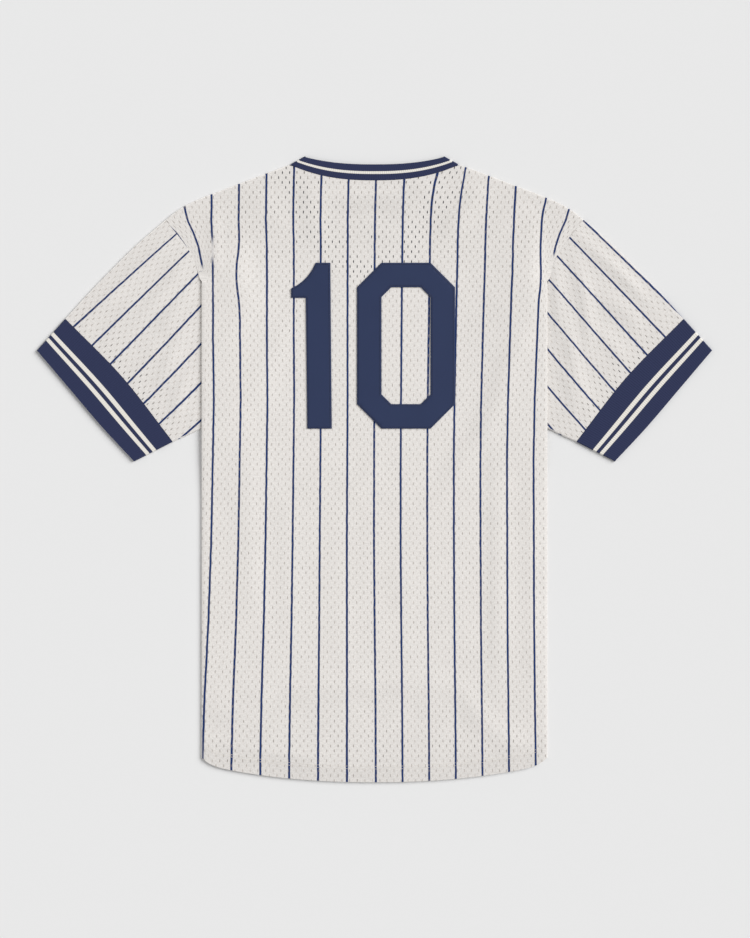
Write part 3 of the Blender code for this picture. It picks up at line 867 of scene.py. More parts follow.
@dataclass(frozen=True)
class RibKnit(Finish):
    """Navy 1 by 1 rib knit with cream bands: soft, matt, its ribs across the bands."""

    cream_bands: tuple[tuple[float, float], ...]
    navy: str = "#2A3151"
    cream: str = "#E6E2DA"
    band_soft: float = 0.25
    rib_pitch: float = 2.6
    roughness: float = 0.88

    def look(self, tree: bpy.types.NodeTree) -> dict:
        """The shader's inputs, from the piece's place on its band."""
        cloth = add_node(tree, "ShaderNodeUVMap", uv_map="Cloth")
        along = add_node(tree, "ShaderNodeSeparateXYZ", cloth)
        across = along.node.outputs["Y"]
        cream = 0.0
        for start, end in self.cream_bands:
            off = add_node(tree, MATH, across, (start + end) / 2, operation="SUBTRACT")
            off = add_node(tree, MATH, off, operation="ABSOLUTE")
            edges = [(end - start) / 2 + shift for shift in (self.band_soft, -self.band_soft)]
            band = add_node(tree, RANGE, off, *edges, interpolation_type="SMOOTHSTEP")
            cream = add_node(tree, MATH, cream, band, operation="ADD", use_clamp=True)
        yarn = add_node(tree, NOISE, inputs={"Vector": cloth, "Scale": 1.1, "Detail": 3.0, "Roughness": 0.7})
        # Painted shade: the valleys between the ribs are painted a little darker and the crests lighter, over
        # the ribs' real relief on the cuffs and collar.
        rib = wave(tree, along, self.rib_pitch)
        light = add_node(tree, MATH, rib, 0.05, 0.90, operation="MULTIPLY_ADD")
        light = add_node(tree, MATH, yarn, 0.2, light, operation="MULTIPLY_ADD")
        dyes = {"Factor": cream, "A": linear(self.navy), "B": linear(self.cream)}
        dyed = add_node(tree, MIX, inputs=dyes, out="Result", data_type="RGBA")
        return {
            "Base Color": add_node(tree, VECTOR, dyed, inputs={"Scale": light}, operation="SCALE"),
            "Normal": add_node(
                tree, "ShaderNodeBump", inputs={"Strength": 0.4, "Distance": 0.3 * MM, "Height": yarn}
            ),
            "Roughness": self.roughness, "Sheen Weight": 0.12, "Specular IOR Level": 0.25,
        }


@dataclass(frozen=True)
class TackleTwill(Finish):
    """Woven polyester twill, fused and sewn on: navy with a low satin sheen and fine diagonal wales."""

    name: str = "tackle twill, navy"
    navy: str = "#293556"
    wale_pitch: float = 0.9
    wale_angle: float = math.radians(58)
    roughness: float = 0.6

    def look(self, tree: bpy.types.NodeTree) -> dict:
        """The shader's inputs, from its place on the garment."""
        place = add_node(tree, "ShaderNodeTexCoord", out="Object")
        turned = {"Vector": place, "Rotation": (0, 0, self.wale_angle), "Scale": (1 / MM,) * 3}
        # A wave texture of scale 1 repeats every 0.314
        lines = {
            "Vector": add_node(tree, "ShaderNodeMapping", inputs=turned),
            "Scale": 0.314 / self.wale_pitch, "Distortion": 0.4, "Detail": 1.0,
        }
        wales = add_node(tree, "ShaderNodeTexWave", inputs=lines, out="Fac", wave_type="BANDS")
        cloud = add_node(tree, NOISE, inputs={"Vector": place, "Scale": 22.0, "Detail": 3.0})
        light = add_node(tree, MATH, wales, 0.10, 0.88, operation="MULTIPLY_ADD")
        light = add_node(tree, MATH, cloud, 0.14, light, operation="MULTIPLY_ADD")
        return {
            "Base Color": add_node(
                tree, VECTOR, linear(self.navy)[:3], inputs={"Scale": light}, operation="SCALE"
            ),
            "Normal": add_node(
                tree, "ShaderNodeBump", inputs={"Strength": 0.25, "Distance": 0.2 * MM, "Height": wales}
            ),
            "Roughness": self.roughness, "Sheen Weight": 0.03, "Specular IOR Level": 0.25,
        }


@dataclass(frozen=True)
class Thread(Finish):
    """Spun polyester sewing thread: two plies that catch a little light."""

    colour: str
    roughness: float = 0.6

    def look(self, tree: bpy.types.NodeTree) -> dict:
        """The shader's inputs, from its place on the garment."""
        place = add_node(tree, "ShaderNodeTexCoord", out="Object")
        twist = add_node(tree, NOISE, inputs={"Vector": place, "Scale": 1500.0, "Detail": 1.0})
        light = add_node(tree, MATH, twist, 0.3, 0.85, operation="MULTIPLY_ADD")
        dyed = add_node(tree, VECTOR, linear(self.colour)[:3], inputs={"Scale": light}, operation="SCALE")
        return {"Base Color": dyed, "Roughness": self.roughness}


@dataclass(frozen=True)
class PaleFloor(Finish):
    """A plain pale floor, matt, as the photo's plain ground."""

    name: str = "pale matt floor"
    colour: str = "#E9E9E9"

    def look(self, tree: bpy.types.NodeTree) -> dict:
        """The shader's inputs, which are all constant."""
        return {"Base Color": linear(self.colour), "Roughness": 1.0, "Specular IOR Level": 0.0}


# Pieces of the garment


def declare(
    piece: bpy.types.Object, node: str, flat: tuple[float, float]
) -> None:
    """Hangs a piece of cloth on the root body, hides the solid that it replaces and logs its cut.

    Args:
        piece: the cloth.
        node: the solid that it replaces.
        flat: the width and length of the cut, in mm.
    """
    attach(piece, "root")
    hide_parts(node)
    LOG.info("%s: %d faces, cut %.0f by %.0f mm", piece.name, len(piece.data.polygons), *flat)


# Painted light and shade on the folded edges: a fold that faces the lamp, on the right, is painted darker,
# and one that faces away from it, on the left, lighter, so that the folds show neither a bright rim nor a
# dark one.
FOLD_PAINTED_LIGHT = {Side.LEFT: 0.33, Side.RIGHT: -0.12}


def back_hole_shade(x: np.ndarray, y: np.ndarray) -> np.ndarray:
    """How dark the back's holes are painted: darkest over the front's navy neck band, which shows through
    them, with painted shade across the top of the back, under the collar and near the hem.
    """
    # Painted shade: the holes darken across the top of the back, where the gap under the cloth is in shade.
    top = 0.34 * smoothstep(225, 300, y) * (0.7 + 0.3 * np.cos(x / 70.0))
    middle, half_width, point, rise = -8.0, 96.0, 243.0, 118.0
    off_centre = (x - middle) / half_width
    slope = 2 * rise / half_width * off_centre
    neck_band = 0.80 * bell((y - point - rise * off_centre**2) / np.sqrt(1.0 + slope**2), 0.0, 16.0, 4)
    label = 0.30 * bell(y, 341, 9.0) * bell(x, -12, 46.0, 4)
    # Painted shade in the holes near the hem.
    hem = 0.18 * bell(y, -342, 22.0)
    left = 0.12 * bell(x, -100, 26.0) * between((120, 170), (230, 260), y)
    return 0.28 + top + neck_band - label + hem + left


def back_tone_and_shade(x: np.ndarray, y: np.ndarray) -> np.ndarray:
    """How much lighter or darker the back looks: the neck tape showing faintly through and the doubled hem,
    with painted shade under the collar and just above the hem, and a little darker towards the neck and
    towards the hem.
    """
    tape = 0.030 * bell(y, 341.5, 5.0, 4) * bell(x, -13, 52.0, 8)
    # Painted shade under the collar.
    under = -0.050 * bell(y, 322, 10.0) * bell(x, -6, 40.0, 4)
    rise = y - BODY.hem_y(x)
    hem = -0.055 * (1 - smoothstep(BODY.hem_turn_up - 2, BODY.hem_turn_up + 1, rise))
    # Painted shade just above the hem's stitching, deeper on the left.
    slack = -0.075 * bell(rise, BODY.hem_turn_up + 5.0, 5.5) * (0.4 + 0.6 * bell(x, -125, 52))
    # Darker towards the neck and towards the hem.
    darker_at_top_and_bottom = -0.035 * smoothstep(215, 335, y) - 0.02 * smoothstep(-200, -300, y)
    return tape + under + hem + slack + darker_at_top_and_bottom


@dataclass
class BackPanel:
    """The back: its top layer, the sides tucked under it and the shoulders turned over."""

    finish: bpy.types.Material
    cut: tuple[float, float] = (560.0, 790.0)
    columns: int = 50
    neck_columns: int = 22
    lower_rows: int = 132
    hem_rows: int = 10
    upper_rows: int = 26
    nose_steps: int = 8
    return_steps: int = 4
    armhole_gap: float = 0.12
    under_hole_shade: float = 0.3
    shoulder_painted_light: float = 0.6
    shoulder_slant: tuple[float, float] = (0.45, -0.30)
    shoulder_inset: float = BODY.mesh_wall / 2 + (BODY.back_top - BODY.low_cloth) / 2

    def build(self) -> bpy.types.Object:
        """Returns:
            The back's cloth.
        """
        full = mirrored(self.plan())
        x, y = full[..., 0], full[..., 1]
        cloth = ClothMesh()
        top = np.stack([x, y, back_height(x, y)], axis=2)
        place = np.stack([BACK_STRIPES.across(x, y), y], axis=2)
        squeeze, printed = BACK_STRIPES.number(x, y)[1], BACK_STRIPES.printed(x, y)
        main = cloth.add(top, place, back_hole_shade(x, y), back_tone_and_shade(x, y), squeeze, printed)
        cloth.join(main)
        for side in Side:
            self.tuck_side(cloth, main, top, place, side)
            self.turn_shoulder(cloth, main, top, place, side)
        piece = cloth.make("back_cloth", BODY.mesh_wall, self.finish)
        declare(piece, "back_panel", self.cut)
        return piece

    def plan(self) -> np.ndarray:
        """Plan places of the right half, as rows by columns by 2."""
        shares = np.linspace(0.0, 1.0, self.columns + 1)
        heights = np.linspace(BODY.hem_top, BODY.climb_high[0], self.lower_rows)
        base = BODY.side_fold(heights)[0]
        lower = np.stack([base[:, None] * shares, np.repeat(heights[:, None], len(shares), axis=1)], axis=2)
        hem_x = shares * BODY.side_fold(BODY.hem_top)[0]
        rise = np.linspace(0.0, 1.0, self.hem_rows, endpoint=False)[:, None]
        hem_rows = BODY.hem_y(hem_x)[None, :] * (1 - rise) + BODY.hem_top * rise
        hem = np.stack([np.repeat(hem_x[None, :], self.hem_rows, axis=0), hem_rows], axis=2)
        return np.concatenate([hem, lower, self.upper(lower[-1])])

    def upper(self, below: np.ndarray) -> np.ndarray:
        """The rows from the top of the side fold to the neck and shoulder, blended from their edges.

        Args:
            below: the row under them.

        Returns:
            Plan places, as rows by columns by 2.
        """
        line = curve_through(BODY.armhole, 300)
        line = line[line[:, 1] > BODY.climb_high[0]]
        side = resample(line + normals_of(line) * self.armhole_gap, self.upper_rows + 1)
        top = self.top_edge()
        side[0], side[-1] = below[-1], top[-1]
        return blended(below, top, np.linspace(below[0], top[0], len(side)), side)[1:]

    def top_edge(self) -> np.ndarray:
        """The neck seam, then where the shoulder starts to turn."""
        x = np.linspace(0.0, BODY.collar_outer[0], self.neck_columns + 1)[:-1]
        neck = np.stack([x, BODY.neck_seam_y(x) - 1.1 * BODY.seam_gap], axis=1)
        return np.concatenate([neck, self.shoulder_base()])

    def shoulder_base(self) -> np.ndarray:
        """Where the shoulder starts to turn, from the neck to the armhole."""
        line, outward = self.shoulder_line(self.columns - self.neck_columns + 1)
        share = np.linspace(0.0, 1.0, len(line))[:, None]
        near, far = np.clip(1 - share * 4, 0, 1), np.clip(share * 4 - 3, 0, 1)
        return line - outward * self.shoulder_inset + near * (0.9, -0.4) + far * (-0.35, 0.15)

    @staticmethod
    def shoulder_line(count: int) -> tuple[np.ndarray, np.ndarray]:
        """The shoulder's outer edge in plan, and the unit vectors out of it."""
        line = curve_through(BODY.shoulder, count)
        return line, normals_of(line)

    def inward(self, outward: np.ndarray) -> np.ndarray:
        """The way that the turned shoulder's cloth runs underneath, slanting at both ends."""
        slant = np.linspace(*self.shoulder_slant, len(outward))[:, None]
        return -outward + np.stack([outward[:, 1], -outward[:, 0]], axis=1) * slant

    def tuck_side(
        self, cloth: ClothMesh, main: np.ndarray, top: np.ndarray, place: np.ndarray, side: Side
    ) -> None:
        """Adds one side's turn and the cloth that runs back under it.

        Args:
            cloth: the piece being built.
            main: the top layer's point numbers.
            top: the top layer's places.
            place: the top layer's places on the cloth.
            side: which side.
        """
        rows = self.hem_rows + self.lower_rows
        column = -1 if side is Side.RIGHT else 0
        edge = top[:rows, column]
        y = np.maximum(edge[:, 1], BODY.hem_top)
        base, _, low = BODY.side_fold(y)
        outward = np.repeat(np.array([[side.value, 0.0]]), rows, axis=0)
        turn = nose(edge[:, :2], outward, edge[:, 2], low, self.nose_steps, BODY.side_flatness)
        inner = BODY.half_width - BODY.side_return
        reach = np.where(y < BODY.armhole[0][1], base - inner, np.maximum(base - BODY.armhole_x(y), 0.8))
        share = np.linspace(0.0, 1.0, self.return_steps + 1)[1:]
        back_x = edge[:, :1] - side.value * reach[:, None] * share
        back_y, back_z = (np.repeat(v[:, None], self.return_steps, axis=1) for v in (edge[:, 1], low))
        under = np.concatenate([turn, np.stack([back_x, back_y, back_z], axis=2)], axis=1)
        hem_share = (edge[:, 1] - BODY.hem_top) / (BODY.hem_y(edge[:, 0]) - BODY.hem_top)
        hem_share = np.clip(hem_share, 0, 1)[:, None]
        lowest = BODY.hem_y(np.minimum(np.abs(under[..., 0]), np.abs(edge[:, :1])))
        hem = lowest * hem_share + BODY.hem_top * (1 - hem_share)
        under[..., 1] = np.where(hem_share > 0, hem, under[..., 1])
        joined = np.concatenate([edge[:, None], under], axis=1)
        steps = np.linalg.norm(np.diff(joined, axis=1), axis=2).cumsum(axis=1)
        across = place[:rows, column, 0][:, None] + side.value * steps
        spot = np.stack([across, under[..., 1]], axis=2)
        turned = np.arange(under.shape[1]) < self.nose_steps
        # Painted light and shade on the side fold's turn: darker where it faces the lamp, lighter where it
        # faces away.
        tone = np.where(turned, FOLD_PAINTED_LIGHT[side], 0.0)
        added = cloth.add(under, spot, self.under_hole_shade, tone, printed=~turned * 1.0)
        index = np.concatenate([main[:rows, column][:, None], added], axis=1)
        cloth.join(index if side is Side.RIGHT else index[:, ::-1])

    def turn_shoulder(
        self, cloth: ClothMesh, main: np.ndarray, top: np.ndarray, place: np.ndarray, side: Side
    ) -> None:
        """Adds one shoulder's turn and the cloth that it carries to the front.

        Args:
            cloth: the piece being built.
            main: the top layer's point numbers.
            top: the top layer's places.
            place: the top layer's places on the cloth.
            side: which side.
        """
        count = self.columns - self.neck_columns + 1
        columns = np.arange(count)[::-1]
        if side is Side.RIGHT:
            columns = main.shape[1] - 1 - columns
        edge = top[-1, columns]
        outward = self.shoulder_line(count)[1]
        base = edge[:, :2] * (side.value, 1)
        turn = nose(base, outward, edge[:, 2], np.full(count, BODY.low_cloth), self.nose_steps)
        share = np.linspace(0.0, 1.0, self.return_steps + 1)[1:]
        plan = base[:, None] + self.inward(outward)[:, None] * (BODY.shoulder_return * share)[None, :, None]
        under = np.concatenate([turn, at_height(plan, BODY.low_cloth)], axis=1) * (side.value, 1, 1)
        joined = np.concatenate([edge[:, None], under], axis=1)
        steps = np.linalg.norm(np.diff(joined, axis=1), axis=2).cumsum(axis=1)
        across = np.repeat(place[-1, columns, :1], under.shape[1], axis=1)
        spot = np.stack([across, edge[:, 1:2] + steps], axis=2)
        turned = np.arange(under.shape[1]) < self.nose_steps
        # Painted light and shade on the shoulder fold's turn, weaker than on the sides.
        tone = np.where(turned, self.shoulder_painted_light * FOLD_PAINTED_LIGHT[side], 0.0)
        added = cloth.add(under, spot, self.under_hole_shade, tone)
        index = np.concatenate([main[-1, columns][:, None], added], axis=1).T
        cloth.join(index if side is Side.RIGHT else index[:, ::-1])

    def shoulder_ends(self, count: int) -> np.ndarray:
        """Where the turned shoulder's cloth ends underneath, from the neck to the armhole."""
        line, outward = self.shoulder_line(count)
        return line - outward * self.shoulder_inset + self.inward(outward) * BODY.shoulder_return


def vee_edge(start: np.ndarray, end_y: float, count: int) -> np.ndarray:
    """One edge of the front's neck band, from its shoulder fold down to its point."""
    end = np.array((0.0, end_y))
    middle = np.array((start[0] - 3.0, start[1] - 0.40 * (start[1] - end_y)))
    share = np.linspace(0.0, 1.0, count)[:, None]
    return (1 - share) ** 2 * start + 2 * share * (1 - share) * middle + share**2 * end


@dataclass
class FrontPanel:
    """The front, flat against the surface, with its plain V neck."""

    finish: bpy.types.Material
    cut: tuple[float, float] = (500.0, 750.0)
    columns: int = 34
    rows: int = 96
    hole_shade_base: float = 0.35
    clearance: float = 1.5

    def build(self) -> bpy.types.Object:
        """Returns:
            The front's cloth.
        """
        side = BODY.half_width - BODY.side_return - BODY.seam_gap
        armhole = curve_through(BODY.armhole, 90)
        armhole = armhole + normals_of(armhole) * BODY.seam_gap
        ends = BackPanel(self.finish).shoulder_ends(24)
        ends = ends + normals_of(ends) * -BODY.seam_gap
        armhole = armhole[armhole[:, 1] < ends[-1][1] - self.clearance]
        outer = np.concatenate([[(side, BODY.hem_y(side)), (side, -20.0)], armhole, [ends[-1] + (-0.5, 0.0)]])
        edge = resample(outer, self.rows)
        neck_start = Collar.fold()[1]
        neck = vee_edge(neck_start, BODY.vee_outer, 60)
        neck = neck + normals_of(neck) * BODY.seam_gap
        neck[-1, 0] = 0.0
        neck = neck[neck[:, 1] < ends[0][1] - self.clearance][::-1]
        half = self.columns // 2
        top = np.concatenate([resample(neck, half), resample(ends, self.columns - half)])
        bottom_x = np.linspace(0.0, side, self.columns)
        bottom = np.stack([bottom_x, BODY.hem_y(bottom_x)], axis=1)
        edge[0], edge[-1] = bottom[-1], top[-1]
        full = mirrored(blended(bottom, top, np.linspace(bottom[0], top[0], self.rows), edge))
        cloth = ClothMesh()
        place = full + (BACK_STRIPES.pitch / 2, 0.0)
        cloth.join(cloth.add(at_height(full, BODY.low_cloth), place, self.hole_shade_base))
        piece = cloth.make("front_cloth", BODY.mesh_wall, self.finish)
        declare(piece, "front_panel", self.cut)
        return piece


@dataclass
class Tube:
    """A flattened tube of cloth between two ends and two folded edges, as a sleeve or cuff lies.

    near and far run from the lower fold to the upper one, and lower and upper from near to far.
    """

    near: np.ndarray
    far: np.ndarray
    lower: np.ndarray
    upper: np.ndarray
    wall: float
    nose_steps: int = 8

    def loops(self, top: Callable, low: float) -> tuple[np.ndarray, np.ndarray, np.ndarray, np.ndarray]:
        """Works out the tube's sections.

        Args:
            top: a function of plan places that gives the upper layer's height.
            low: the lower layer's height.

        Returns:
            The upper layer, the upper fold's turn, the lower layer and the lower fold's turn, each as
            sections by points by 3, in the order that they follow round the tube.
        """
        plan = blended(self.near, self.far, self.lower, self.upper)
        height = top(plan[..., 0], plan[..., 1])
        inset = self.wall / 2 + (height - low) / 2
        out_lower, out_upper = -normals_of(self.lower), normals_of(self.upper)
        b = np.linspace(0.0, 1.0, len(self.near))[None, :, None]
        pull = (1 - b) ** 3 * out_lower[:, None] + b**3 * out_upper[:, None]
        plan = plan - inset[..., None] * pull
        over = np.concatenate([plan, height[..., None]], axis=2)
        under = at_height(plan, low)[:, ::-1]
        lows = np.full(len(plan), low)
        turn_up = nose(plan[:, -1], out_upper, height[:, -1], lows, self.nose_steps)[:, :-1]
        turn_down = nose(plan[:, 0], out_lower, height[:, 0], lows, self.nose_steps)[:, :-1][:, ::-1]
        return over, turn_up, under, turn_down


@dataclass
class Sleeve:
    """A sleeve: one piece sewn into a tube, tucked under the body's side fold."""

    side: Side
    finish: bpy.types.Material
    cut: tuple[float, float] = (520.0, 250.0)
    across: int = 62
    sections: int = 46
    round_fold: float = 2.4
    knit_way: tuple[float, float] = (0.72, -0.69)
    hole_shade_base: float = 0.26
    cuff_hole_shade: float = 0.55
    tone: float = -0.03

    def top(self, x: np.ndarray, y: np.ndarray) -> np.ndarray:
        """The middle of the sleeve's upper layer: low under the body, fuller and creased towards the cuff."""
        free = smoothstep(216, 248, x)
        calm = smoothstep(208, 222, x) * smoothstep(0, 16, within(BODY.sleeve_lower, x, y))
        calm = calm * smoothstep(0, 12, within(BODY.cuff_inner, x, y))
        calm = calm * smoothstep(2, 14, -within(BODY.sleeve_upper, x, y))
        soft = ripple(SLEEVE_CREASES[self.side], x, y) + 0.14 * unrest(x, y, 2.0 + self.side.value)
        raised = BODY.sleeve_top + (BODY.sleeve_top_free - BODY.sleeve_top) * free
        return raised + np.maximum(calm * soft, -0.25)

    def build(self) -> bpy.types.Object:
        """Returns:
            The sleeve's cloth.
        """
        tube = Tube(
            curve_through(BODY.armhole, self.across), curve_through(BODY.cuff_inner, self.across),
            curve_through(BODY.sleeve_lower, self.sections), curve_through(BODY.sleeve_upper, self.sections),
            BODY.mesh_wall,
        )
        over, turn_up, under, turn_down = tube.loops(self.top, BODY.low_cloth)
        cloth = ClothMesh()
        ring = np.concatenate([over, turn_up, under, turn_down], axis=1)
        u_over = SLEEVE_STRIPES.across(self.side, over[..., 0], over[..., 1])
        fold = u_over[:, -1:]
        step = np.sign((fold - u_over[:, :1]).mean())
        turn = 0.75 * math.pi * np.linspace(0.1, 0.9, turn_up.shape[1])
        u_up = fold + step * turn
        u_under = 2 * fold - u_over[:, ::-1] + step * self.round_fold
        u_down = np.repeat(u_under[:, -1:], turn_down.shape[1], axis=1)
        across = np.concatenate([u_over, u_up, u_under, u_down], axis=1)
        along = ring[..., :2] @ self.knit_way
        points = ring * (self.side.value, 1, 1)
        share = np.linspace(0.0, 1.0, self.sections)[:, None]
        wide = np.linspace(0.0, 1.0, self.across)[None, :]
        hole_shading = np.full(ring.shape[:2], self.hole_shade_base)
        # Painted shade: the sleeve's holes darken towards the cuff, where the gap under its cloth is in
        # shade.
        hole_shading[:, : self.across] += self.cuff_hole_shade * smoothstep(0.62, 1.0, share) * bell(wide, 0.42, 0.42)
        shade = np.full(ring.shape[:2], self.tone)
        # Painted light and shade on the sleeve's upper fold, as on the body's folds.
        shade[:, self.across : self.across + turn_up.shape[1]] += FOLD_PAINTED_LIGHT[self.side]
        index = cloth.add(points, np.stack([across, along], axis=2), hole_shading, shade)
        cloth.join(np.concatenate([index, index[:, :1]], axis=1))
        name = f"sleeve_{self.side.name.lower()}"
        piece = cloth.make(f"{name}_cloth", BODY.mesh_wall, self.finish, self.side is Side.RIGHT)
        declare(piece, name, self.cut)
        return piece


@dataclass
class Cuff:
    """A striped rib cuff: a short tube whose ribs stand up from its surface."""

    side: Side
    finish: bpy.types.Material
    depth: float = 56.2
    rib_pitch: float = 2.6
    rib_height: float = 0.16
    points_a_rib: int = 4
    sections: int = 15

    def build(self) -> bpy.types.Object:
        """Returns:
            The cuff's cloth.
        """
        inner = curve_through(BODY.cuff_inner, 200)
        width = length_along(inner)[-1]
        across = int(width / self.rib_pitch) * self.points_a_rib + 1
        near = resample(inner, across) + np.array([0.75, -0.65]) * BODY.seam_gap
        far = curve_through(BODY.cuff_outer, across)
        lower = curve_through((tuple(near[0]), *BODY.cuff_lower[1:]), self.sections)
        upper = curve_through((tuple(near[-1]), *BODY.cuff_upper[1:]), self.sections)
        tube = Tube(near, far, lower, upper, BODY.rib_wall, 12)
        loops = tube.loops(lambda x, y: np.full(np.shape(x), BODY.rib_top), BODY.low_rib)
        ring = np.concatenate(loops, axis=1)
        around = rib_places(ring[len(ring) // 2], self.rib_pitch)
        share = np.linspace(0.0, 1.0, self.sections)[:, None]
        fade = smoothstep(0.0, 0.05, share) * (1 - smoothstep(0.97, 1.0, share))
        lift = self.rib_height * np.cos(2 * math.pi * around / self.rib_pitch)[None, :] * fade
        upward = np.where(np.arange(ring.shape[1])[None, :] < across, 1.0, 0.0)
        ring[..., 2] += (lift - self.rib_height) * upward
        cloth = ClothMesh()
        place = np.stack(np.broadcast_arrays(around[None, :], share * self.depth), axis=2)
        index = cloth.add(ring * (self.side.value, 1, 1), place)
        cloth.join(np.concatenate([index, index[:, :1]], axis=1))
        name = f"cuff_{self.side.name.lower()}"
        piece = cloth.make(f"{name}_rib", BODY.rib_wall, self.finish, self.side is Side.RIGHT)
        cut = (around[-1] + BODY.seam_allowance * 2, self.depth + BODY.seam_allowance * 2)
        declare(piece, name, cut)
        return piece


@dataclass
class Collar:
    """The striped rib collar: a ring that folds at the shoulders and meets at the front's point."""

    finish: bpy.types.Material
    depth: float = 19.4
    rib_pitch: float = 2.6
    rib_height: float = 0.14
    crown: float = 0.25
    across: int = 9
    back_sections: int = 168
    front_sections: int = 120
    nose_steps: int = 10

    @staticmethod
    def fold() -> tuple[np.ndarray, np.ndarray, np.ndarray]:
        """Where the collar starts to turn over the shoulder: inner end, outer end and the way out."""
        inner, outer = np.array(BODY.collar_inner[:2]), np.array(BODY.collar_outer[:2])
        run = (outer - inner) / np.linalg.norm(outer - inner)
        outward = np.array([-run[1], run[0]])
        inset = outward * ((BODY.rib_top - BODY.low_rib) / 2 + BODY.rib_wall / 2)
        base_inner, base_outer = inner - inset, outer - inset
        while base_outer[1] < BODY.neck_seam_y(base_outer[0]):
            base_outer = base_outer - run * 0.05
        return base_inner, base_outer, outward

    def build(self) -> bpy.types.Object:
        """Returns:
            The collar's cloth.
        """
        base_inner, base_outer, outward = self.fold()
        share = np.linspace(0.0, 1.0, self.back_sections)
        centre = BODY.collar_inner[2]
        inner_y = centre + (base_inner[1] - centre) * share**BODY.neck_power
        inner = np.stack([share * base_inner[0], inner_y], axis=1)
        outer_x = share * base_outer[0]
        outer = np.stack([outer_x, BODY.neck_seam_y(outer_x)], axis=1)
        w = np.linspace(0.0, 1.0, self.across)
        back = at_height(inner[:, None] + (outer - inner)[:, None] * w[None, :, None], BODY.rib_top)
        fold_line = base_inner + (base_outer - base_inner) * w[:, None]
        ways = np.repeat(outward[None], self.across, axis=0)
        tops, lows = np.full(self.across, BODY.rib_top), np.full(self.across, BODY.low_rib)
        turn = nose(fold_line, ways, tops, lows, self.nose_steps).transpose(1, 0, 2)
        inner, outer = (
            vee_edge(start, end, self.front_sections)
            for start, end in ((base_inner, BODY.vee_inner), (base_outer, BODY.vee_outer))
        )
        front = at_height(inner[:, None] + (outer - inner)[:, None] * w[None, :, None], BODY.low_rib)
        half = np.concatenate([back, turn, front[1:]])
        ring = np.concatenate([half, half[-2:0:-1] * (-1, 1, 1)])
        around = rib_places(ring[:, self.across // 2], self.rib_pitch)
        fade = smoothstep(0.0, 0.08, w) * (1 - smoothstep(0.92, 1.0, w))
        lift = self.rib_height * np.cos(2 * math.pi * around / self.rib_pitch)[:, None] * fade[None, :]
        on_top = (ring[..., 2] > BODY.rib_top - 0.01).astype(float)
        crown = self.crown * np.sin(math.pi * w)[None, :]
        ring[..., 2] += (lift - self.rib_height + crown) * on_top
        cloth = ClothMesh()
        place = np.stack(np.broadcast_arrays(around[:, None], w[None, :] * self.depth), axis=2)
        index = cloth.add(ring, place)
        cloth.join(np.concatenate([index, index[:1]]))
        piece = cloth.make("collar_rib", BODY.rib_wall, self.finish)
        cut = (around[-1] + BODY.seam_allowance * 2, self.depth + BODY.seam_allowance * 2)
        declare(piece, "collar", cut)
        return piece


@dataclass(frozen=True)
class Numeral:
    """A plain block numeral of twill, by its outline and the hole in it."""

    name: str
    outline: tuple
    hole: tuple
    flat: tuple[float, float]
    edge_round: float = 0.3

    def build(self, finish: bpy.types.Material, grid: float = 6.0) -> bpy.types.Object:
        """Args:
            finish: its twill.
            grid: the size of its faces, in mm.

        Returns:
            The numeral's cloth.
        """
        shape = bmesh.new()
        outer = [shape.verts.new((x, y, 0.0)) for x, y in self.outline]
        hole = [shape.verts.new((x, y, 0.0)) for x, y in self.hole]
        if hole:
            for i in range(len(outer)):
                after = (i + 1) % len(outer)
                shape.faces.new((outer[i], outer[after], hole[after], hole[i]))
        else:
            shape.faces.new(outer)
        xs, ys = zip(*self.outline)
        for axis, low, high in ((0, min(xs), max(xs)), (1, min(ys), max(ys))):
            for at in np.arange(low + grid / 2, high, grid):
                place, normal = [0.0, 0.0, 0.0], [0.0, 0.0, 0.0]
                place[axis], normal[axis] = at, 1.0
                everything = shape.verts[:] + shape.edges[:] + shape.faces[:]
                bmesh.ops.bisect_plane(shape, geom=everything, plane_co=place, plane_no=normal, dist=0.01)
        shape.verts.index_update()
        plan = np.array([vert.co[:2] for vert in shape.verts])
        rise = BODY.mesh_wall / 2 + BODY.seam_gap + BODY.twill_wall / 2
        height = back_height(plan[:, 0], plan[:, 1]) + rise
        for vert, z in zip(shape.verts, height):
            vert.co = Vector((vert.co.x * MM, vert.co.y * MM, z * MM))
        area = sum(face.calc_area() for face in shape.faces)
        mesh = bpy.data.meshes.new(self.name)
        shape.normal_update()
        shape.to_mesh(mesh)
        shape.free()
        mesh.materials.append(finish)
        rough = put(f"{self.name}_middle", mesh)
        add_wall(rough, BODY.twill_wall, False)
        soften = rough.modifiers.new("cut edge", "BEVEL")
        soften.width = self.edge_round * MM
        soften.segments = 2
        soften.limit_method = "ANGLE"
        soften.angle_limit = math.radians(60)
        piece = finished(rough, f"{self.name}_twill")
        declare(piece, self.name, self.flat)
        return piece


